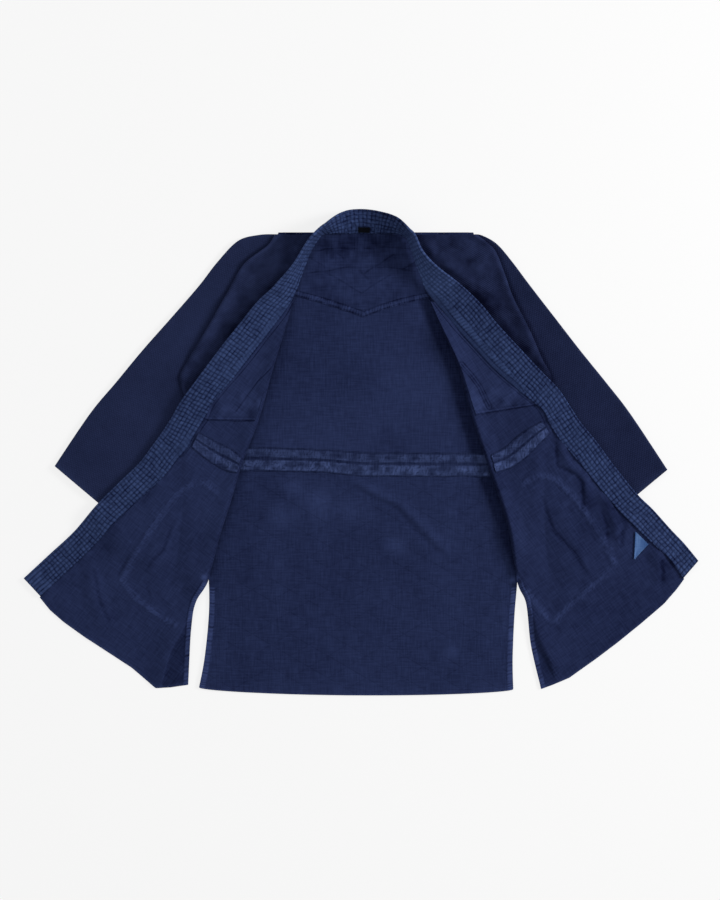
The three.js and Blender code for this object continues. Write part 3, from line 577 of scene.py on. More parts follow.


# %% [markdown]
# The dye is what makes the jacket: deep indigo that has been washed off a little wherever the cloth rubs.
# Several finishes share it, so it is a node group. Its inputs are the deep and the washed colour and how
# far the cloth is rubbed there, with the painted shade and light added in, and it puts out the colour
# of the surface.

# %% Node helpers


def node(tree, kind, inputs=(), **settings):
    """Adds a shader node, sets what is given, and returns it. Inputs are (socket name or number, value)."""
    made = tree.nodes.new(kind)
    for name, value in settings.items():
        setattr(made, name, value)
    for key, value in inputs:
        if isinstance(value, bpy.types.NodeSocket):
            tree.links.new(value, made.inputs[key])
        else:
            made.inputs[key].default_value = value
    return made


def maths(tree, operation, a, b=0.0, c=0.0):
    return node(tree, "ShaderNodeMath", [(0, a), (1, b), (2, c)], operation=operation).outputs[0]


def spread(tree, value, low, high, to_low=0.0, to_high=1.0):
    """Maps a value from one range to another and clamps it."""
    keys = ("Value", "From Min", "From Max", "To Min", "To Max")
    sockets = list(zip(keys, (value, low, high, to_low, to_high)))
    return node(tree, "ShaderNodeMapRange", sockets).outputs[0]


def mixed(tree, factor, a, b):
    sockets = [(0, factor), (6, a), (7, b)]
    return node(tree, "ShaderNodeMix", sockets, data_type="RGBA").outputs[2]


def noisy(tree, vector, scale, detail=2.0, roughness=0.5):
    sockets = [("Vector", vector), ("Scale", scale), ("Detail", detail), ("Roughness", roughness)]
    return node(tree, "ShaderNodeTexNoise", sockets).outputs["Fac"]


def stretched(tree, vector, scale):
    return node(tree, "ShaderNodeMapping", [("Vector", vector), ("Scale", scale)]).outputs[0]


def group(name, inputs, outputs):
    """An empty node group with its sockets. Returns the tree, its inputs by name and its output node."""
    tree = bpy.data.node_groups.new(name, "ShaderNodeTree")
    for socket, kind, value in inputs:
        made = tree.interface.new_socket(socket, in_out="INPUT", socket_type="NodeSocket" + kind)
        if value is not None:
            made.default_value = value
    for socket, kind in outputs:
        tree.interface.new_socket(socket, in_out="OUTPUT", socket_type="NodeSocket" + kind)
    given = tree.nodes.new("NodeGroupInput").outputs
    return tree, given, tree.nodes.new("NodeGroupOutput").inputs


# %% Indigo dye and weaves
DIAMOND_WIDTH = 62.7
DIAMOND_HEIGHT = 36.3
LATTICE_AT = (8.1, -9.7)


def indigo_dye():
    """Deep and washed indigo, mixed by how rubbed the cloth is, by painted shade and light, and by large and
    small clouds.
    """
    tree, given, made = group(
        "Indigo dye",
        [
            ("Position", "Vector", None), ("Deep", "Color", (0, 0, 0, 1)), ("Washed", "Color", (1, 1, 1, 1)),
            ("Wear And Painted Light", "Float", 0.0), ("Cloud", "Float", 0.12), ("Thread Tint", "Float", 0.5),
        ],
        [("Color", "Color")],
    )
    large = spread(tree, noisy(tree, given["Position"], 9.0, 3.0, 0.6), 0.3, 0.7, -1.0, 1.0)
    small = spread(tree, noisy(tree, given["Position"], 85.0, 3.0, 0.7), 0.3, 0.7, -0.6, 0.6)
    clouds = maths(tree, "MULTIPLY", maths(tree, "ADD", large, small), given["Cloud"])
    threads = maths(tree, "MULTIPLY_ADD", given["Thread Tint"], 0.2, -0.1)
    worn_and_painted_light = maths(tree, "MULTIPLY_ADD", given["Wear And Painted Light"], 0.5, 0.335)
    share = maths(tree, "ADD", maths(tree, "ADD", worn_and_painted_light, clouds), threads)
    share = maths(tree, "MINIMUM", maths(tree, "MAXIMUM", share, 0.0), 1.0)
    tree.links.new(mixed(tree, share, given["Deep"], given["Washed"]), made["Color"])
    return tree


def plain_weave():
    """Warp over weft in a checker of small bumps, with thicker slubs here and there."""
    tree, given, made = group(
        "Plain weave",
        [("Threads", "Vector", None), ("Pitch", "Float", 0.0011)],
        [("Height", "Float"), ("Tint", "Float")],
    )
    turns = maths(tree, "DIVIDE", math.pi, given["Pitch"])
    apart = node(tree, "ShaderNodeSeparateXYZ", [(0, given["Threads"])]).outputs
    warp = maths(tree, "SINE", maths(tree, "MULTIPLY", apart["X"], turns))
    weft = maths(tree, "SINE", maths(tree, "MULTIPLY", apart["Y"], turns))
    checker = maths(tree, "MULTIPLY", warp, weft)
    across = noisy(tree, stretched(tree, given["Threads"], (38, 420, 1)), 1.0, 2.0)
    down = noisy(tree, stretched(tree, given["Threads"], (420, 38, 1)), 1.0, 2.0)
    slubs = maths(tree, "ADD", across, down)
    height = maths(tree, "MULTIPLY_ADD", checker, 0.35, slubs)
    tree.links.new(height, made["Height"])
    tree.links.new(spread(tree, slubs, 0.7, 1.3), made["Tint"])
    return tree


def rice_weave():
    """Raised grains in staggered rows, longer than they are wide."""
    tree, given, made = group(
        "Rice grain weave",
        [("Threads", "Vector", None), ("Grain", "Float", 0.0034)],
        [("Height", "Float"), ("Tint", "Float")],
    )
    turns = maths(tree, "DIVIDE", math.pi, given["Grain"])
    apart = node(tree, "ShaderNodeSeparateXYZ", [(0, given["Threads"])]).outputs
    x = maths(tree, "MULTIPLY", apart["X"], turns)
    y = maths(tree, "MULTIPLY", maths(tree, "MULTIPLY", apart["Y"], 0.62), turns)
    one = maths(tree, "SINE", maths(tree, "ADD", x, y))
    other = maths(tree, "SINE", maths(tree, "SUBTRACT", x, y))
    grains = maths(tree, "ABSOLUTE", maths(tree, "MULTIPLY", one, other))
    grains = maths(tree, "POWER", grains, 0.6)
    uneven = noisy(tree, given["Threads"], 240.0, 2.0)
    tree.links.new(maths(tree, "MULTIPLY_ADD", uneven, 0.4, grains), made["Height"])
    tree.links.new(spread(tree, grains, 0.1, 0.9, 0.1, 1.0), made["Tint"])
    return tree


def diamond_quilting():
    """The two crossing families of stitched lines, 1 on a line, fainter where the noise is low."""
    tree, given, made = group("Diamond quilting", [("Threads", "Vector", None)], [("Line", "Float")])
    apart = node(tree, "ShaderNodeSeparateXYZ", [(0, given["Threads"])]).outputs
    x = maths(tree, "DIVIDE", apart["X"], DIAMOND_WIDTH * MM)
    y = maths(tree, "DIVIDE", apart["Y"], DIAMOND_HEIGHT * MM)
    lines = []
    for turn in ("ADD", "SUBTRACT"):
        place = maths(tree, turn, x, y)
        off = maths(tree, "ABSOLUTE", maths(tree, "SUBTRACT", place, maths(tree, "ROUND", place)))
        lines.append(spread(tree, off, 0.012, 0.045, 1.0, 0.0))
    uneven = spread(tree, noisy(tree, given["Threads"], 30.0, 2.0), 0.35, 0.65, 0.35, 1.0)
    both = maths(tree, "MAXIMUM", *lines)
    tree.links.new(maths(tree, "MULTIPLY", both, uneven), made["Line"])
    return tree


DYE, PLAIN, RICE, DIAMONDS = indigo_dye(), plain_weave(), rice_weave(), diamond_quilting()
print("node groups:", [tree.name for tree in (DYE, PLAIN, RICE, DIAMONDS)])

# %% [markdown]
# A finish is one Principled shader. The groups feed its colour, its roughness and a Bump node, and what is
# the same all over, such as the soft sheen of cotton, is set on the shader itself.

# %% Cloth finishes


def linear(red, green, blue):
    """A colour that was picked in ordinary 0 to 255 values, as the shader wants it."""
    shares = [c / 255 for c in (red, green, blue)]
    return (*[((c + 0.055) / 1.055) ** 2.4 if c > 0.0405 else c / 12.92 for c in shares], 1)


def cloth_finish(name, weave, deep, washed, cloud, bump=0.5, depth=0.0004, quilted=0.0):
    """One cloth. Quilted is how clearly the diamonds' stitched lines show on it."""
    material = bpy.data.materials.new(name)
    material.use_nodes = True
    tree = material.node_tree
    shader = tree.nodes["Principled BSDF"]
    position = node(tree, "ShaderNodeTexCoord").outputs["Object"]
    threads = node(tree, "ShaderNodeUVMap").outputs[0]
    wear_and_painted_light = node(tree, "ShaderNodeAttribute", attribute_name="wear_and_painted_light").outputs["Fac"]
    cloth = node(tree, "ShaderNodeGroup", node_tree=weave)
    tree.links.new(threads, cloth.inputs["Threads"])
    height, shade = cloth.outputs["Height"], wear_and_painted_light
    if quilted:
        lines = node(tree, "ShaderNodeGroup", node_tree=DIAMONDS)
        tree.links.new(threads, lines.inputs["Threads"])
        height = maths(tree, "MULTIPLY_ADD", lines.outputs["Line"], -0.7 * quilted, height)
        shade = maths(tree, "MULTIPLY_ADD", lines.outputs["Line"], -0.13 * quilted, wear_and_painted_light)
    dye = node(tree, "ShaderNodeGroup", node_tree=DYE)
    for key, value in (("Position", position), ("Wear And Painted Light", shade), ("Thread Tint", cloth.outputs["Tint"])):
        tree.links.new(value, dye.inputs[key])
    dye.inputs["Deep"].default_value = linear(*deep)
    dye.inputs["Washed"].default_value = linear(*washed)
    dye.inputs["Cloud"].default_value = cloud
    relief = node(tree, "ShaderNodeBump", [("Strength", bump), ("Distance", depth), ("Height", height)])
    tree.links.new(dye.outputs["Color"], shader.inputs["Base Color"])
    tree.links.new(relief.outputs[0], shader.inputs["Normal"])
    tree.links.new(spread(tree, wear_and_painted_light, -1, 1, 0.98, 0.86), shader.inputs["Roughness"])
    shader.inputs["Specular IOR Level"].default_value = 0.06
    shader.inputs["Sheen Weight"].default_value = 0.03
    shader.inputs["Sheen Roughness"].default_value = 0.6
    shader.inputs["Sheen Tint"].default_value = linear(120, 140, 200)
    return material


DEEP, WASHED = (10, 16, 44), (62, 76, 124)
INNER = cloth_finish("inner_cotton", PLAIN, DEEP, WASHED, 0.04)
SKIRT_CLOTH = cloth_finish("back_skirt_cotton", PLAIN, DEEP, WASHED, 0.04, quilted=1.0)
FRONT_CLOTH = cloth_finish("front_skirt_cotton", PLAIN, DEEP, WASHED, 0.04, quilted=0.45)
OUTER = cloth_finish("rice_grain_cotton", RICE, (6, 10, 34), (58, 70, 114), 0.05, 0.6, 0.0006)
BAND = cloth_finish("collar_cotton", PLAIN, (12, 19, 49), (76, 97, 149), 0.05)
TAPE = cloth_finish("tape_cotton", PLAIN, (11, 18, 47), (76, 92, 142), 0.05)
TIE = cloth_finish("tie_cotton", PLAIN, (40, 70, 124), (112, 146, 196), 0.10)
RIBBON = cloth_finish("tag_satin", PLAIN, (3, 4, 8), (16, 18, 26), 0.05, 0.4, 0.0002)
print("finishes:", [m.name for m in (INNER, SKIRT_CLOTH, FRONT_CLOTH, OUTER, BAND, TAPE, TIE, RIBBON)])

# %% [markdown]
# The back of the body is one cloth from the shoulders to the waist. It is almost flat. Its threads show as
# faint lines, and it is drawn up a little along the waist seam.

# %% Back of the body
WAIST_Y = -17
BODY_SIZE = (545, 376)
NECK_CURVE = 3.0


def dress(name, slot, cad_node, place, wear_and_painted_light, finish, wall, rests_on, held="laid", **laying):
    """Lays a cloth, hangs it from the root and hides the construction model's node that it stands for. The
    slot, rests_on and held arguments are not used.
    """
    piece = lay(name, place, wear_and_painted_light, finish, wall, **laying)
    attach(piece, "root")
    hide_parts(cad_node)
    return piece


def side_to_side(rows, line, width, length, spacing, drop=0.0, neck=0.0):
    """Points of a panel between its left and right edge. Also how far across and along each one is."""
    u, v = np.meshgrid(places(width, spacing), places(length, spacing))
    left, right = line(rows["left"], v), line(rows["right"], v)
    plan = blend(left, right, u[..., None])
    plan[..., 1] += neck * (1 - soft(v * length / 25)) - drop * v * np.sqrt(np.sin(np.pi * u))
    return plan[..., 0], plan[..., 1], u, v


def painted_fold_shadow(x, y):
    """How much painted shadow darkens the back next to the two folds, which stand up and shade it."""
    near = {side: np.abs(to_line(x, y, FRONT[side]["fold"])[0]) for side in SIDES}
    reach = np.interp(y, [-208, -150, -40, 250], [4, 16, 25, 20])
    return 0.34 * soft((reach - near["right"]) / 8) + 0.12 * soft((24 - near["left"]) / 20)


def at_height(x, y, z):
    return np.stack([x, y, z], axis=-1)


x, y, u, v = side_to_side(BODY, broken, *BODY_SIZE, 3.4, neck=NECK_CURVE)
drawn = np.exp((WAIST_Y - y) / 14) * noise(x, y * 0.25, 6.5, 11)
z = CLOTH_WALL + settle(x, y) + 0.45 * drawn
# The back is painted darker beside the folds: painted shadow.
wear_and_painted_light = 0.12 * noise(x, y, 60, 2) + 0.25 * drawn - painted_fold_shadow(x, y)
back_body = dress(
    "back_body_cloth", "inner_cloth", "back_body", at_height(x, y, z), wear_and_painted_light, INNER, SHEET_WALL, ["table_top"])

# %% [markdown]
# The back skirt is quilted in long diamonds, 63 by 36 mm. The stitched lines lie low and the middle of each
# diamond stands up by less than a millimetre, so it shows best where the light rakes across it.

# %% Back skirt
SLIT_HEM = 8.2
RUNG_PITCH = 6.3
SLIT_TOP = 0.52
SKIRT_SIZE = (525, 372)
SKIRT_WIDTH = 520
SKIRT_DROP = 12
PILLOW_PITCH = 31.4
WORN_SPOTS = [
    (-112, -56, 15), (-129, -106, 20), (57, -155, 15), (-20, -98, 16), (-70, -80, 26), (150, -330, 10),
]
BACK_TACKS = [(-253, -209), (250, -211)]


def lattice(x, y, degrees=0.0):
    """Plan coordinates along and across the diamond quilting, from one of its crossings."""
    return turned(x - LATTICE_AT[0], y - LATTICE_AT[1], degrees)


def diamonds(x, y, degrees=0.0):
    """Distance from each point to the nearest stitched line of the diamond quilting."""
    along, across = lattice(x, y, degrees)
    pitch = 1 / math.hypot(1 / DIAMOND_WIDTH, 1 / DIAMOND_HEIGHT)
    one = along / DIAMOND_WIDTH + across / DIAMOND_HEIGHT
    other = along / DIAMOND_WIDTH - across / DIAMOND_HEIGHT
    return [np.abs(line - np.round(line)) * pitch for line in (one, other)]


def pillow(distances):
    """How full the cloth is between stitched lines, from 0 on a line to 1 in the middle."""
    return np.prod([np.sin(np.pi * np.clip(d / PILLOW_PITCH, 0, 0.5)) ** 0.8 for d in distances], axis=0)


def hem_band(distance, along, band, pitch, seed):
    """The raised, puckered strip of a turned and stitched hem: its height and how light it is."""
    on = soft((band - distance) / 1.2 + 0.5)
    puff = np.abs(np.sin(np.pi * (along / pitch + 0.25 * noise(along, distance * 0, 31, seed)))) ** 0.7
    size = 0.85 + 0.25 * noise(along, distance, 11, seed + 1)
    inner_line = groove(np.abs(distance - band - 0.6), 1.3)
    return on * (0.4 + 0.8 * puff * size), on * (1.6 * puff * size - 0.3) - 0.35 * inner_line


def tacked(x, y, places_of_tacks):
    """The pale knot of thread at the top of a slit."""
    return sum(1.1 * np.exp(-((np.hypot(x - a, y - b) / 4.6) ** 2)) for a, b in places_of_tacks)


x, y, u, v = side_to_side(SKIRT, curve, *SKIRT_SIZE, 2.75, drop=SKIRT_DROP)
quilt = pillow(diamonds(x, y))
from_waist, from_hem = v * SKIRT_SIZE[1], (1 - v) * SKIRT_SIZE[1]
from_side = np.minimum(u, 1 - u) * SKIRT_WIDTH
below_slit = soft((v - SLIT_TOP) / 0.02)
hem, light = hem_band(from_side, from_waist, SLIT_HEM, RUNG_PITCH, 4)
drawn = np.exp(-from_waist / 14) * noise(x, y * 0.25, 6.5, 12)
creased = folds_at(BACK_CREASES, x, y, strongest=False)
z = CLOTH_WALL + settle(x, y) + 0.5 * quilt + creased
z = np.maximum(z, SHEET_WALL + 0.1) + 0.45 * drawn + 0.7 * hem * below_slit - rolled_edge(from_hem, 1.4)
spots = sum(np.exp(-((np.hypot(x - a, y - b) / r) ** 2)) for a, b, r in WORN_SPOTS)
streaks = noise(x * 0.8, y * 0.12, 12, 7)
wear_and_painted_light = 0.36 * spots + tacked(x, y, BACK_TACKS) - 0.04 + 0.05 * noise(x, y, 50, 6) + 0.05 * streaks
# The skirt gets the same painted shadow beside the folds.
wear_and_painted_light = wear_and_painted_light + light * below_slit + 0.2 * drawn - painted_fold_shadow(x, y)
# Painted highlight: a light line and band along the bottom edge, where the rolled hem catches the light.
wear_and_painted_light = wear_and_painted_light + 0.07 * creased + 0.35 * groove(from_hem - 1.0, 5) + 0.12 * soft(1 - from_hem / 40)
back_skirt = dress(
    "back_skirt_cloth", "inner_cloth", "back_skirt", at_height(x, y, z), wear_and_painted_light, SKIRT_CLOTH, SHEET_WALL,
    ["table_top"], threads=np.stack(lattice(x, y), axis=-1))

# %% [markdown]
# The yoke is a patch that hangs from the shoulders to a shallow V. Its lower edge is sewn with two rows of
# stitches, and the strip between them is puckered. Inside it a chevron and an arched seam are stitched.

# %% Yoke
YOKE_SIZE = (400, 125)
YOKE_TOP = {"left": -128, "right": 177, "y": 362}
YOKE_BAND = 9.0
YOKE_ARCH = [(-110, 290), (-74, 296), (-52, 300), (-25, 304), (5, 304), (39, 305), (68, 301), (110, 296)]
YOKE_TOP_SEAM = [(-96, 331), (-40, 335), (7, 336), (50, 337), (96, 336)]
CHEVRONS = [
    [(-55, 296), (1, 262), (49, 292)], [(-2, 300), (11, 284)], [(5, 294), (32, 311), (54, 326)],
    [(-40, 326), (-29, 318)], [(-95, 326), (-60, 306)], [(95, 318), (66, 301)],
]


def stitched(x, y, lines, width=1.5):
    """How close each point is to any of some stitched lines, from 0 to 1."""
    return np.max([groove(np.abs(to_line(x, y, line)[0]), width) for line in lines], axis=0)


u, v = np.meshgrid(places(YOKE_SIZE[0], 1.8), places(YOKE_SIZE[1], 1.6))
edge_x = blend(YOKE_EDGE["x"][0], YOKE_EDGE["x"][-1], u)
edge_y = np.interp(edge_x, YOKE_EDGE["x"], YOKE_EDGE["y"])
x, y = blend(blend(YOKE_TOP["left"], YOKE_TOP["right"], u), edge_x, v), blend(YOKE_TOP["y"], edge_y, v)
from_edge, along, _ = to_line(x, y, list(zip(YOKE_EDGE["x"], YOKE_EDGE["y"])))
from_edge = np.abs(from_edge)
in_band = soft((YOKE_BAND - from_edge) / 1.5 + 0.5)
puckers = np.abs(np.sin(np.pi * (along / 4.6 + 0.9 * noise(along, from_edge, 12, 21))))
puckers = puckers * (0.6 + 0.5 * noise(along, from_edge, 8, 23))
rows_of_stitches = groove(np.abs(from_edge - 1.6), 1.3) + groove(np.abs(from_edge - YOKE_BAND), 1.3)
bent = x + 1.5 * noise(x, y, 18, 24), y + 1.5 * noise(x, y, 18, 25)
chevrons = stitched(*bent, [YOKE_ARCH, YOKE_TOP_SEAM, *CHEVRONS]) * (0.7 + 0.3 * noise(x, y, 10, 26))
above_arch = soft((y - 300) / 6)
rumple = (0.3 + 0.7 * above_arch) * (0.6 * noise(x, y, 15, 31) + 0.4 * noise(x, y, 7, 32))
z = CLOTH_WALL + GAP + PATCH_WALL + settle(x, y) + 0.45 * in_band * puckers - 0.4 * rows_of_stitches
z = z + 0.5 * rumple - 0.35 * chevrons - rolled_edge(from_edge, 0.8) * 0.9
# Painted shade: the yoke's top, next to the standing collar, is painted darker.
yoke_top_shade = soft((y - 302) / 60)
wear_and_painted_light = 0.1 * noise(x, y, 26, 22) + 0.12 * noise(x, y, 9, 24) + in_band * (puckers - 0.25)
wear_and_painted_light = wear_and_painted_light - 0.55 * rows_of_stitches - 0.42 * chevrons + 0.3 * rumple - 0.2 * yoke_top_shade - 0.06
dress("yoke_cloth", "inner_cloth", "back_yoke", at_height(x, y, z), wear_and_painted_light, INNER, 0.9, [back_body])

# %% [markdown]
# A tape covers the waist seam inside. Two rows of stitches gather it into short puckers, one band above
# and one below. The puckers are close, uneven and lighter on their crests, where the dye has worn off.

# %% Waist tapes
TAPE_WIDTH = 40
BACK_TAPE_SIZE = (530, 42)
FRONT_TAPE_SIZE = (95, 38)
TAPE_SEED = {"left": 45, "right": 47, "back": 41}


def tape_relief(u, v, length, seed):
    """Puckers of the two bands: height and lightness for a tape of this length."""
    s, d = u * length, v * TAPE_WIDTH
    jitter = 1.2 * noise(s, d * 0.3, 12, seed) + 0.6 * noise(s, d, 5, seed + 3)
    upper = soft((v - 0.06) / 0.05) * soft((0.43 - v) / 0.05)
    lower = soft((v - 0.5) / 0.05) * soft((0.96 - v) / 0.05)
    crests_up = np.abs(np.sin(np.pi * (s / 5.2 + jitter + 0.02 * d))) ** 0.5
    slanted = np.abs(np.sin(np.pi * (s / 5.6 - jitter - 0.05 * d))) ** 0.4
    crests_low = np.abs(np.sin(np.pi * (s / 8.2 + jitter + 0.3 + 0.045 * d))) ** 0.5 * (0.55 + 0.45 * slanted)
    size = 0.8 + 0.8 * noise(s, d, 9, seed + 1)
    puff = (0.75 * upper * crests_up + 1.1 * lower * crests_low) * size
    seams = np.max([groove(np.abs(v - at) * TAPE_WIDTH, 1.2) for at in (0.03, 0.13, 0.46, 0.97)], axis=0)
    seams = seams * (0.75 + 0.4 * noise(s, d * 0, 14, seed + 5))
    return 0.9 * puff - 0.25 * seams, 1.05 * puff - 0.52


u, v = np.meshgrid(*[places(length, 1.4) for length in BACK_TAPE_SIZE])
x = blend(BACK_TAPE["x"][0], BACK_TAPE["x"][-1], u)
y = blend(*[np.interp(x, BACK_TAPE["x"], BACK_TAPE[edge]) for edge in ("top", "bottom")], v)
relief, light = tape_relief(u, v, 529, TAPE_SEED["back"])
z = CLOTH_WALL + GAP + 0.75 + settle(x, y) + relief
z = z - rolled_edge(np.minimum(v, 1 - v) * BACK_TAPE_SIZE[1], 0.7)
place = at_height(x, y + 0.5 * noise(x, v * 0, 9, 43) * (np.abs(v - 0.5) * 2) ** 2, z)
dress("waist_tape_back_cloth", "waist_tape", "waist_tape_back", place, 0.8 * light, TAPE, 0.7,
      [back_body, back_skirt])

for side in SIDES:
    rows = FRONT_TAPE[side]
    u, v = np.meshgrid(*[places(length, 1.3) for length in FRONT_TAPE_SIZE])
    plan = blend(curve(rows["top"], u), curve(rows["bottom"], u), v[..., None])
    x, y = plan[..., 0], plan[..., 1]
    relief, light = tape_relief(u, v, FRONT_TAPE_SIZE[0], TAPE_SEED[side])
    z = front_over(side, x, y) + LOFT + 0.8 + settle(x, y) + relief
    z = z - rolled_edge(np.minimum(v, 1 - v) * FRONT_TAPE_SIZE[1], 0.7)
    dress(f"waist_tape_{side}_cloth", "waist_tape", f"waist_tape_{side}", at_height(x, y, z), 0.85 * light,
          TAPE, 0.7, [f"front_body_{side}_cloth"])

# %% [markdown]
# The triangle between the neck, the shoulder and the underarm is the part of each front that still lies
# face up. It carries the fold under the collar and laps over the sleeve with one long crease.

# %% Shoulder parts
SHOULDER_SIZE = (130, 560)
FOLD_ROLL = 5.0
LAP_BULGE = {"left": 2.6, "right": 0.9}
COLLAR_SHADOW_REACH = {"left": 14, "right": 18}
LAP_SHADE = {"left": 0, "right": 0.24}
FREE_EDGE = [tuple(point) for point in COLLAR["free"][7:44]]

for side in SIDES:
    rows = SHOULDER[side]
    u, v = np.meshgrid(places(SHOULDER_SIZE[0], 2.6), places(SHOULDER_SIZE[1], 3.2))
    inner, lap = curve(rows["fold"], v), curve(rows["lap"], v)
    across = np.linalg.norm(lap - inner, axis=-1)
    inset = np.minimum((FOLD_ROLL + 1) / across, 0.6)
    plan = blend(inner, lap, blend(inset, 1, u)[..., None])
    x, y = plan[..., 0], plan[..., 1]
    from_collar = np.abs(to_line(x, y, FREE_EDGE)[0])
    # Painted shadow: the shoulder is painted darker along the collar's raised free edge.
    collar_shadow = soft((COLLAR_SHADOW_REACH[side] - from_collar) / 12) * soft((y - 60) / 120)
    rumpled = soft((y - 255) / 60)
    relief = 1.2 * folds_at(FINE_CREASES, x, y, strongest=False) + 0.5 * noise(x, y, 23, 51)
    mottled = noise(x, y, 15, 53) + 0.7 * noise(x * 0.6, y, 9, 54)
    relief = relief + (0.3 + 0.35 * rumpled) * (mottled + 0.6 * noise(x, y, 7, 56))
    from_lap = (1 - u) * across
    lap = LAP_BULGE[side] * groove(np.abs(from_lap - 7), 9)
    z = shoulder_under(side, x, y) + CLOTH_WALL + settle(x, y) + relief + lap
    z = z - rolled_edge(from_lap, 3.4) * 0.95
    wear_and_painted_light = 0.08 * noise(x, y, 35, 52) + 0.12 * groove(np.abs(from_lap - 4), 4) + 0.08 * relief - 0.06
    wear_and_painted_light = wear_and_painted_light + 0.14 * mottled + 0.1 * noise(x, y, 4.5, 55) - 0.32 * collar_shadow
    wear_and_painted_light = wear_and_painted_light + 0.16 * rumpled - LAP_SHADE[side]
    dress(f"front_shoulder_{side}_cloth", "rice_weave", f"front_shoulder_{side}", at_height(x, y, z), wear_and_painted_light,
          OUTER, 1.7, [back_body], grain=90)

# %% [markdown]
# A turned-back front shows its inner face. Its sheet rolls over the fold in a half round, runs out to the
# collar's seam, and ends in stitched hems at the slit and below. The pocket outside is sewn through, so its
# outline shows as a ring of puckers. The waist seam under the tape parts it into a body and a skirt.

# %% Turned-back fronts
WAIST_ROW = 0.4
SLIT_ROW = 0.7
GRAIN = {"left": -37.2, "right": 36.2}
SEAM_ALLOWANCE = 2.5
ROLL_ANGLES = np.radians([-90, -55, -25, 0, 20, 38, 55, 72])
ROLL_POINTS = len(ROLL_ANGLES)
FRONT_LENGTH = 720
FRONT_WIDTH = 240
TO_HEM = 430
FRONT_TACKS = [(-258, -206), (255, -207)]
FRONT_SHADE = {"left": 0.0, "right": 0.18}
PLEAT_SHADOW = {"left": 0.36, "right": 0.04}
POCKET_LINE = {
    "left": [
        (-239, -66), (-256, -50), (-276, -51), (-307, -73), (-327, -100), (-347, -130), (-375, -174),
        (-394, -211), (-375, -238), (-344, -262), (-307, -285),
    ],
    "right": [
        (264, -56), (277, -43), (298, -38), (322, -46), (351, -76), (382, -117), (406, -157),
        (419, -188), (396, -208), (365, -234), (342, -255), (315, -282), (291, -255), (274, -231),
    ],
}
seam_line = curve(COLLAR["seam"], np.linspace(0, 1, 601))


def seam_on_row(start, aim):
    """Where a row from the fold meets the collar's seam, with the allowance that is sewn into the band."""
    row = aim - start
    a, step = seam_line[:-1], np.diff(seam_line, axis=0)
    cross = row[0] * step[:, 1] - row[1] * step[:, 0]
    cross = np.where(np.abs(cross) < 1e-9, 1e-9, cross)
    offset = a - start
    reach = (offset[:, 0] * step[:, 1] - offset[:, 1] * step[:, 0]) / cross
    along = (offset[:, 0] * row[1] - offset[:, 1] * row[0]) / cross
    good = (along >= 0) & (along <= 1) & (reach > 0)
    if not good.any():
        return aim
    best = reach[good][np.argmin(np.abs(reach[good] - 1))]
    return start + row * (best + SEAM_ALLOWANCE / np.linalg.norm(row))


def front_edges(side, v):
    """Fold edge and seam edge of a front for each row, before the hem's bow."""
    inner, aim = curve(FRONT[side]["fold"], v), curve(FRONT[side]["seam"], v)
    return inner, np.array([seam_on_row(a, b) for a, b in zip(inner, aim)])


def front_plan(side, u, v):
    """Plan of a front for arrays of places across, one row of them for each place v."""
    inner, outer = front_edges(side, v)
    plan = blend(inner[:, None], outer[:, None], u[..., None])
    bow = soft((v - SLIT_ROW) / (1 - SLIT_ROW))[:, None]
    plan[..., 1] -= bow * np.interp(u, HEM_BOW[side]["across"], HEM_BOW[side]["drop"])
    return plan[..., 0], plan[..., 1], np.linalg.norm(outer - inner, axis=1)[:, None]


def front_sheet(side, start, end, spacing):
    """Rolled fold, face and edges of one stretch of a front: points, distances and shares."""
    v = start + (end - start) * places((end - start) * FRONT_LENGTH, spacing)
    inner, outer = front_edges(side, v)
    width = np.linalg.norm(outer - inner, axis=1)[:, None]
    roll = np.minimum(FOLD_ROLL, 0.35 * width)
    flat = places(FRONT_WIDTH, spacing)[None, 1:]
    rolled = 1 - soft((v - SLIT_ROW + 0.06) / 0.06)[:, None]
    beside = blend(np.linspace(0, 1, ROLL_POINTS), 1 - np.cos(ROLL_ANGLES), rolled) * roll
    u = np.concatenate([beside / width, blend(roll / width, 1, flat)], axis=1)
    x, y, width = front_plan(side, u, v)
    over = front_over(side, x, y)
    low = rest_on_back(y[:, :1])
    top = over[:, ROLL_POINTS:ROLL_POINTS + 1]
    lift = np.concatenate([np.sin(ROLL_ANGLES), np.ones(flat.shape[1])])[None]
    round_height = low + (top - low) * (0.5 + 0.5 * lift)
    in_roll = (np.arange(u.shape[1]) < ROLL_POINTS)[None]
    z = np.where(in_roll, blend(over, round_height, rolled), over)
    return x, y, z, u * width, (1 - u) * width, np.broadcast_to(v[:, None], x.shape)


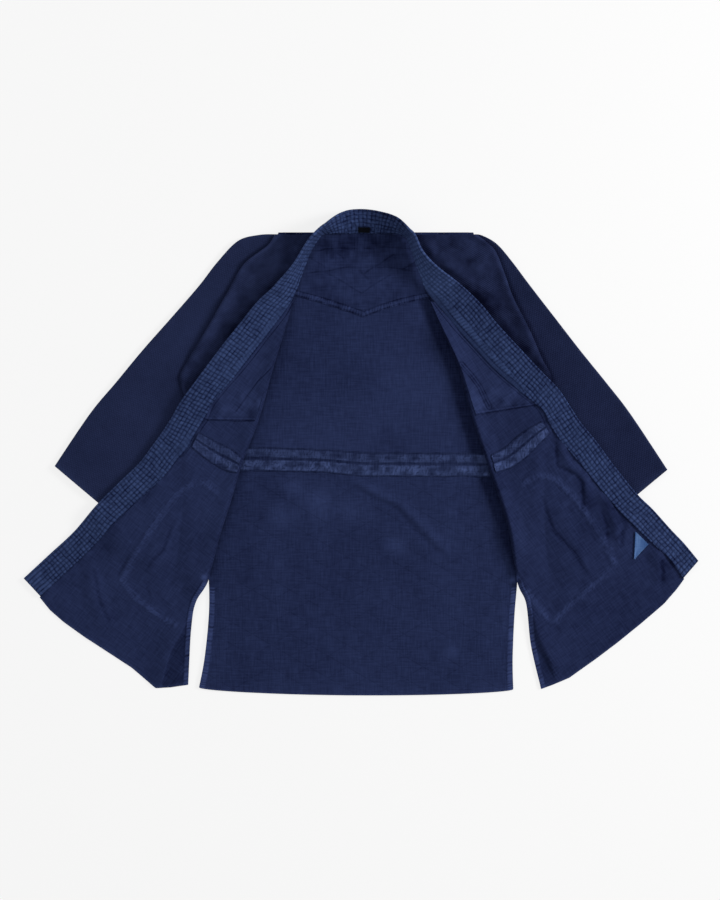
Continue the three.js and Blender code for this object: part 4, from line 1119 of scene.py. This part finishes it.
def front_relief(side, x, y, from_fold, from_seam, v):
    """Seams, pocket puckers and creases on a front: height, and tone with painted shade in the creases and in
    the SHADED patches.
    """
    distance, along, _ = to_line(x, y, POCKET_LINE[side])
    distance = np.abs(distance)
    seed = 61 if side == "left" else 71
    ring = soft((7.2 - distance) / 2.6)
    puff = np.abs(np.sin(np.pi * (along / 5.2 + 1.4 * noise(along, distance, 8, seed))))
    puff = puff * (0.7 + 0.5 * noise(along, distance, 7, seed + 6))
    pocket_lines = groove(np.abs(distance - 4.4), 1.3) * (0.7 + 0.3 * noise(along, distance, 20, seed + 5))
    collar_line = groove(from_seam - 8.5, 1.3) * soft((WAIST_ROW - v) / 0.05 + 0.5)
    seam_puff = np.exp(-from_seam / 7) * noise(x, y, 7, seed + 1)
    fine = folds_at(FINE_CREASES, x, y, strongest=False)
    rumple = 0.35 * noise(x, y, 26, seed + 2) + 0.2 * noise(x, y, 11, seed + 3)
    height = ring * (0.7 + 0.7 * puff) - 0.4 * pocket_lines - 0.4 * collar_line
    height = height + 0.5 * seam_puff + fine + rumple
    wear_and_painted_light = ring * (0.52 * puff + 0.02) - 0.35 * pocket_lines - 0.45 * collar_line - FRONT_SHADE[side]
    # The creases are painted darker (0.35 of their depth), and the SHADED patches add painted shade.
    wear_and_painted_light = wear_and_painted_light + 0.3 * seam_puff + 0.35 * fine + 0.06 * noise(x, y, 55, seed + 4) + 0.1 * rumple
    return height, wear_and_painted_light + folds_at(SHADED, x, y, strongest=False)


for side in SIDES:
    x, y, z, from_fold, from_seam, v = front_sheet(side, 0, WAIST_ROW, 2.6)
    height, wear_and_painted_light = front_relief(side, x, y, from_fold, from_seam, v)
    # Painted shade: the front is painted darker along its rolled fold edge.
    wear_and_painted_light = wear_and_painted_light - 0.25 * soft((5 - from_fold) / 3)
    place = at_height(x, y, z + settle(x, y) + height * soft(from_fold / 8))
    dress(f"front_body_{side}_cloth", "inner_cloth", f"front_body_{side}", place, wear_and_painted_light, INNER, SHEET_WALL,
          [f"front_shoulder_{side}_cloth"], held="folded", grain=GRAIN[side])

    x, y, z, from_fold, from_seam, v = front_sheet(side, WAIST_ROW, 1, 2.6)
    height, wear_and_painted_light = front_relief(side, x, y, from_fold, from_seam, v)
    quilted = pillow(diamonds(x, y, degrees=GRAIN[side]))
    hem, light = hem_band(from_fold, v * FRONT_LENGTH, SLIT_HEM, RUNG_PITCH, 14)
    open_edge = soft((v - SLIT_ROW) / 0.02)
    low_edge = (1 - v) * TO_HEM
    z = z + settle(x, y) + height * soft(from_fold / 8) + 0.25 * quilted + 0.7 * hem * open_edge
    z = z - rolled_edge(low_edge, 1.4)
    # Painted shadow: the wedge on the slit side of the step fold, under the fold, is painted darker.
    inward = to_line(x, y, FRONT_FOLDS[side][0]["crest"])[0] * (1 if side == "left" else -1)
    pleat_shadow = soft(inward / 2) * soft((-258 - y) / 24) * soft((46 - inward) / 14)
    # Painted highlight: a light line along the bottom edge, on its rolled hem.
    wear_and_painted_light = wear_and_painted_light + light * open_edge + 0.4 * groove(low_edge - 1.0, 4) - PLEAT_SHADOW[side] * pleat_shadow
    # Painted shade along the rolled fold edge, above the slit.
    wear_and_painted_light = wear_and_painted_light - 0.25 * soft((5 - from_fold) / 3) * (1 - open_edge)
    wear_and_painted_light = wear_and_painted_light + tacked(x, y, FRONT_TACKS)
    dress(f"front_skirt_{side}_cloth", "inner_cloth", f"front_skirt_{side}", at_height(x, y, z), wear_and_painted_light,
          FRONT_CLOTH, SHEET_WALL, [f"pocket_{side}_cloth"], held="folded",
          threads=np.stack(lattice(x, y, GRAIN[side]), axis=-1))

# %% [markdown]
# The shoulder lining is a second layer on the inner face of each front. It ends in a double-stitched seam
# across the front, and a slanting seam runs down its side.

# %% Shoulder linings
LINING = {"from": 0.02, "to": 0.308, "inner": 0.07, "outer": 0.99}
LINING_SIZE = (90, 200)
LINING_RUN = 700
SLANT_SEAM = {
    "left": [(-145, 140), (-170, 116), (-206, 66)],
    "right": [(165, 144), (182, 125), (196, 106), (211, 74)],
}

for side in SIDES:
    u, v = np.meshgrid(places(LINING_SIZE[0], 1.5), places(LINING_SIZE[1], 1.8))
    u, v = blend(LINING["inner"], LINING["outer"], u), blend(LINING["from"], LINING["to"], v)
    x, y, width = front_plan(side, u, v[:, 0])
    from_end = (LINING["to"] - v) * LINING_RUN
    sewn = groove(np.abs(from_end - 1.5), 1.3) + 0.6 * groove(np.abs(from_end - 6.5), 1.3)
    slant = np.abs(to_line(x, y, SLANT_SEAM[side])[0])
    slanting = groove(slant, 1.3) + (groove(np.abs(slant - 4), 1.2) if side == "right" else 0)
    slanting = slanting + groove(np.abs((1 - u) * width - 7.5), 1.3)
    low = soft((60 - from_end) / 40)
    rumple = low * (0.9 * noise(x, y * 0.6, 12, 81) + 0.5 * noise(x, y, 7, 82)) + 0.3 * noise(x, y, 31, 83)
    edge = np.minimum(np.minimum(u, 1 - u) * width, from_end)
    z = front_over(side, x, y) + LOFT + PATCH_WALL + settle(x, y) + 0.7 * rumple - 0.4 * sewn - 0.4 * slanting
    z = z - rolled_edge(edge, 0.9) * 0.9
    wear_and_painted_light = 0.35 * rumple - 0.75 * sewn - 0.55 * slanting + 0.12 * groove(np.abs(from_end - 4), 2.4)
    wear_and_painted_light = wear_and_painted_light + 0.06 * noise(x, y, 50, 84) + 0.06 * low
    dress(f"front_lining_{side}_cloth", "inner_cloth", f"front_lining_{side}", at_height(x, y, z), wear_and_painted_light,
          INNER, 0.8, [f"front_body_{side}_cloth"], grain=GRAIN[side])

# %% [markdown]
# The sleeves are flat tubes. Going round one, the sheet runs along the floor, round the edge and back over
# the top. The grid's first and last columns meet and are merged, and the wall goes inwards.

# %% Sleeves
CUFF_HEM = 8.0
SLEEVE_LENGTH = 430
SLEEVE_SHADE = {"left": -0.02, "right": 0.25}
SLEEVE_GRAIN = {"left": -38.5, "right": 36.5}
QUARTER_TURNS = np.array([-90, -60, -30, 0, 30, 60, 90])


def stretch(start, end, shares, level):
    """A flat stretch of a tube's section: each point's place across and its level."""
    return [(blend(start, end, share), level) for share in shares]


def bend(centre, radius, degrees, height=1.0):
    """A round stretch of a section, about a centre."""
    return [(centre + radius * math.cos(a), height * math.sin(a)) for a in np.radians(degrees)]


def section(width, *stretches):
    """The closed ring of all stretches for each width: places across and levels, a column for each point."""
    ring = [point for points in stretches for point in points]
    ring.append(ring[0])
    across = np.concatenate([place + 0 * width for place, _ in ring], axis=1)
    return across, np.broadcast_to(np.array([level for _, level in ring])[None], across.shape)


def sleeve(side):
    """Points and tone of one sleeve, from the armhole to the cuff and once round, with painted shadow beside
    the lap.
    """
    t = places(420, 4.0)[:, None]
    a, b = [curve(SLEEVE[side][edge], t[:, 0])[:, None] for edge in ("top", "under")]
    span = np.linalg.norm(b - a, axis=2)
    unit = (b - a) / span[..., None]
    radius = SLEEVE_HEIGHT / 2
    run = np.linspace(0, 1, 74)[1:-1]
    across, level = section(
        span,
        stretch(radius, span - radius, run[::2], -radius),
        bend(span - radius, radius, QUARTER_TURNS, radius),
        stretch(radius, span - radius, run[::-1], radius),
        bend(radius, -radius, QUARTER_TURNS[::-1], radius),
    )
    plan = a + unit * across[..., None]
    x, y = plan[..., 0], plan[..., 1]
    upper = soft(level / radius)
    from_cuff = (1 - t) * SLEEVE_LENGTH
    soft_folds = 1.1 * noise(x, y, 70, 91) + 0.5 * noise(x, y, 30, 92)
    hem = groove(from_cuff - CUFF_HEM, 1.8)
    z = radius + level + upper * (settle(x, y) + soft_folds * 0.5 - 0.5 * hem)
    from_lap = np.abs(to_line(x, y, SHOULDER[side]["lap"])[0])
    wear_and_painted_light = upper * (0.06 * noise(x, y, 60, 93) - 0.3 * hem) + 0.25 * groove(np.abs(from_cuff - 3), 5) * upper
    # Painted shadow: the sleeve is painted darker along the shoulder's lap edge.
    wear_and_painted_light = wear_and_painted_light + 0.2 * groove(across, 4) * upper - 0.3 * soft((9 - from_lap) / 7) - SLEEVE_SHADE[side]
    return at_height(x, y, z), wear_and_painted_light


for side in SIDES:
    dress(f"sleeve_{side}_cloth", "rice_weave", f"sleeve_{side}", *sleeve(side), OUTER, SHEET_WALL,
          ["table_top"], grain=SLEEVE_GRAIN[side], tube=True)

# %% [markdown]
# The pockets are on the outer face, so here they lie under the fronts. They are plain patches.

# %% Pockets
for side in SIDES:
    u, v = np.meshgrid(places(100, 6), places(280, 6))
    plan = blend(curve(POCKET[side]["side"], v), curve(POCKET[side]["inner"], v), u[..., None])
    x, y = plan[..., 0], plan[..., 1]
    place = at_height(x, y, top_under(side, x, y) + PATCH_WALL + settle(x, y))
    dress(f"pocket_{side}_cloth", "rice_weave", f"pocket_{side}", place, 0 * x, OUTER, 0.8,
          [f"sleeve_{side}_cloth"], grain=GRAIN[side])

# %% [markdown]
# The collar is one thick band, from one hem round the neck to the other. Rows of stitches run along it and
# short ones cross it, so it is all small blocks. Nearest the seam the blocks open into longer puckers.
# It is too thick for Solidify: its grid goes all the way round the band, over the rounded free edge.

# %% Collar band
QUILT_ROW = 6.4
QUILT_CROSS = 6.8
QUILT_WIDTH = 38.0
QUILT_LONG = 6.0
PLAIN_EDGE = {"left": 3.0, "right": 9.0}
NECK_AT = 0.525
SEAM_ROUND = 0.6
BAND_COUNT = len(COLLAR["rise"]) - 1


def band_rise(t):
    place = np.clip(t, 0, 1) * BAND_COUNT
    k = np.minimum(place.astype(int), BAND_COUNT - 1)
    rise = np.array(COLLAR["rise"], float)
    return blend(rise[k], rise[k + 1], soft(place - k))


def band_middle(t, across):
    plan = blend(curve(COLLAR["seam"], t), curve(COLLAR["free"], t), across[..., None])
    x, y = plan[..., 0], plan[..., 1]
    return at_height(x, y, by_side(x, y, top_under) + COLLAR_WALL / 2 + band_rise(t) * across)


def band_frame(t):
    """For each place along the band: where its seam edge is, the way across it, and the way out of it."""
    none, half, full = np.zeros_like(t), np.full_like(t, 0.5), np.ones_like(t)
    start = band_middle(t, none)
    width = band_middle(t, full) - start
    ahead = band_middle(np.minimum(t + 0.003, 1), half) - band_middle(np.maximum(t - 0.003, 0), half)
    normal = np.cross(width, ahead)
    normal = normal / np.linalg.norm(normal, axis=-1, keepdims=True)
    return start, width, normal * np.where(normal[..., 2:] < 0, -1, 1)


def even_places(spacing):
    """Places t along the band that are evenly spaced in millimetres, and the length up to each."""
    t = np.linspace(0, 1, 4001)
    middle = band_middle(t, np.full_like(t, 0.5))
    length = np.concatenate([[0], np.cumsum(np.linalg.norm(np.diff(middle, axis=0), axis=1))])
    s = np.linspace(0, length[-1], int(length[-1] / spacing) + 1)
    return np.interp(s, length, t), s


def between_lines(place, pitch, power):
    """How full the band is at this distance from the nearest line of stitches."""
    return np.sin(np.pi * np.clip(place / pitch, 0, 0.5)) ** power


def collar_relief(s, d, width, total):
    """Blocks and puckers of the band: s along it, d from its free edge. Height, and tone with painted light
    past the neck and painted shade on the right free edge.
    """
    ends = soft((s - 16) / 22)
    wander = s + 1.5 * noise(s, d, 15, 101) + 0.7 * noise(s, d, 6, 102)
    cross = wander / QUILT_CROSS
    row = (d - 3.4 + 0.8 * noise(s, d * 0, 26, 103) + 0.4 * noise(s, d, 8, 107)) / QUILT_ROW
    near_row = np.abs(row - np.round(row)) * QUILT_ROW
    near_cross = np.abs(cross - np.round(cross)) * QUILT_CROSS
    cell = np.floor(cross) * 7.3, np.floor(row) * 5.9
    strong = 0.65 + 0.35 * noise(np.round(cross) * 7.3, np.floor(row) * 5.9, 3.1, 104)
    held = 0.65 + 0.35 * noise(cell[0], np.round(row) * 5.9, 3.3, 108)
    block = between_lines(near_row, QUILT_ROW, 0.6)
    block = block * blend(1, between_lines(near_cross, QUILT_CROSS, 0.6), ends)
    full = 0.8 + 0.4 * noise(*cell, 2.9, 105)
    sewn = np.maximum(groove(near_row, 1.5) * held, groove(near_cross, 1.4) * strong * ends)
    wide = soft((width - 47) / 4)
    plain = wide * np.where(s < total / 2, PLAIN_EDGE["left"], PLAIN_EDGE["right"])
    to_seam = width - d - plain
    quilted = blend(1, soft((QUILT_WIDTH - d) / 3 + 0.5), wide)
    puckered = (1 - quilted) * soft(to_seam / 1.5 + 0.5)
    long_cross = (wander + 0.3 * (d - QUILT_WIDTH)) / QUILT_LONG
    near_long = np.abs(long_cross - np.round(long_cross)) * QUILT_LONG
    puff = between_lines(near_long, QUILT_LONG, 0.7) * (0.75 + 0.4 * noise(s, d, 10, 106))
    last_line = groove(np.abs(to_seam), 1.5) + wide * groove(np.abs(width - d - 1.0), 1.5)
    past_neck = s - NECK_AT * total
    at_neck = soft((95 - np.abs(past_neck)) / 40)
    clear = 1 - 0.3 * at_neck
    # Painted light: the narrow part just past the neck, which faces away from the main light, is painted
    # lighter.
    painted_light_past_neck = soft((past_neck - 30) / 40) * soft((200 - past_neck) / 60)
    speckle_and_painted_light = 0.26 * at_neck * noise(s, d, 2.6, 109) + 0.45 * painted_light_past_neck
    height = quilted * clear * (0.8 * block * full - 0.35 * sewn) + puckered * 0.8 * puff - 0.4 * last_line
    light = quilted * clear * (0.62 * block * full - 0.6 * sewn) + puckered * (0.85 * puff - 0.2)
    end_seam = groove(np.abs(total - s - 32), 1.6)
    # On the right the free edge is painted darker, painted shade that tones down the light on its round edge;
    # on the left it is a little lighter.
    edge = groove(np.abs(d - 1.4), 2.6) * np.where(s < total / 2, 0.1, -0.3)
    light = light + speckle_and_painted_light + edge - 0.19 - 0.08 * at_neck - 0.35 * last_line - 0.5 * end_seam
    return height - 0.4 * end_seam, light


t, s = even_places(1.32)
start, across, outward = band_frame(t)
width = np.linalg.norm(across, axis=1)
half = COLLAR_WALL / 2
nose = half - 0.4
wide = width[:, None]
d, level = section(
    wide,
    stretch(wide - SEAM_ROUND, nose, np.linspace(0, 1, 36), 1.0), bend(nose, -nose, [60, 30, 0, -30, -60]),
    stretch(wide - SEAM_ROUND, nose, np.linspace(1, 0, 7), -1.0),
    bend(wide - SEAM_ROUND, SEAM_ROUND, [-45, 0, 45]),
)
along = np.broadcast_to(s[:, None], d.shape)
relief, wear_and_painted_light = collar_relief(along, d, wide, s[-1])
shown = soft((level + 0.2) / 1.2)
lift = level * half + shown * relief * 0.85 - shown * 0.3
place = start[:, None] + across[:, None] * (1 - d / wide)[..., None] + outward[:, None] * lift[..., None]
place[..., 2] += settle(place[..., 0], place[..., 1])
threads = np.stack([along, d * np.sign(level + 0.01)], axis=-1)
collar = lay("collar_cloth", place, wear_and_painted_light, BAND, threads=threads, tube=True)
bpy.ops.object.mode_set(mode="EDIT")
bpy.ops.mesh.select_all(action="DESELECT")
bpy.ops.mesh.select_non_manifold(extend=False)
bpy.ops.mesh.fill_holes(sides=0)
bpy.ops.mesh.select_all(action="SELECT")
bpy.ops.mesh.normals_make_consistent(inside=False)
bpy.ops.object.mode_set(mode="OBJECT")
print("collar length in mm:", round(s[-1]), "width from", round(width.min()), "to", round(width.max()))
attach(collar, "root")
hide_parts("collar_left", "collar_neck", "collar_right")

# %% [markdown]
# Two small things: the end of the chest tie, in a paler blue, and the plain woven tag at the neck.

# %% Tie end and neck tag
TIE_CORNERS = {"upper": (452, -131), "lower": (450, -177), "tip": (474, -152)}
TIE_SIZE = (28, 40)
TIE_TIP = 0.97
u, v = np.meshgrid(*[places(length, 1.2) for length in TIE_SIZE])
v = blend(0, TIE_TIP, v)
corners = {name: np.array(point, float) for name, point in TIE_CORNERS.items()}
plan = blend(blend(corners["upper"], corners["tip"], u[..., None]), corners["lower"], v[..., None])
x, y = plan[..., 0], plan[..., 1]
folded = 0.5 * np.sin(u * 5 + v * 2) + 0.3 * noise(x, y, 9, 111)
z = front_over("right", x, y) + LOFT + 0.7 + PATCH_WALL + settle(x, y) + folded
# The dark line along one side edge of the tie is a painted shadow of its raised edge.
wear_and_painted_light = 0.4 * folded - 0.6 * groove(u * TIE_SIZE[0], 3)
dress("tie_end_cloth", "tie_cloth", "tie_tab", at_height(x, y, z), wear_and_painted_light, TIE, 0.9,
      ["front_skirt_right_cloth"])

TAG = {"middle": 5, "half": 10, "low": 0.04, "high": 0.26, "wall": 0.6}
seam_x = curve(COLLAR["seam"], t)[:, 0]
near_neck = np.abs(t - 0.52) < 0.06
tag_ends = [TAG["middle"] - TAG["half"], TAG["middle"] + TAG["half"]]
tag_t = np.interp(tag_ends, seam_x[near_neck], t[near_neck])
u, v = np.meshgrid(np.linspace(*tag_t, 17), np.linspace(TAG["low"], TAG["high"], 9))
start, across, outward = band_frame(u)
place = start + across * v[..., None] + outward * (half + 0.9)
place[..., 2] += TAG["wall"] + settle(place[..., 0], place[..., 1])
dress("neck_tag_cloth", "tag_ribbon", "neck_tag", place, 0 * u, RIBBON, TAG["wall"], [collar])

# %% [markdown]
# The last cell writes the size of the construction model and of the dressed jacket, to compare them.

# %% Sizes and the end
sizes = {"cad": [list(corner) for corner in cad_box], "dressed": [list(corner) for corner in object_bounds()]}
for name, box in sizes.items():
    print(name, "size in mm:", [round((high - low) / MM, 1) for low, high in zip(*box)])
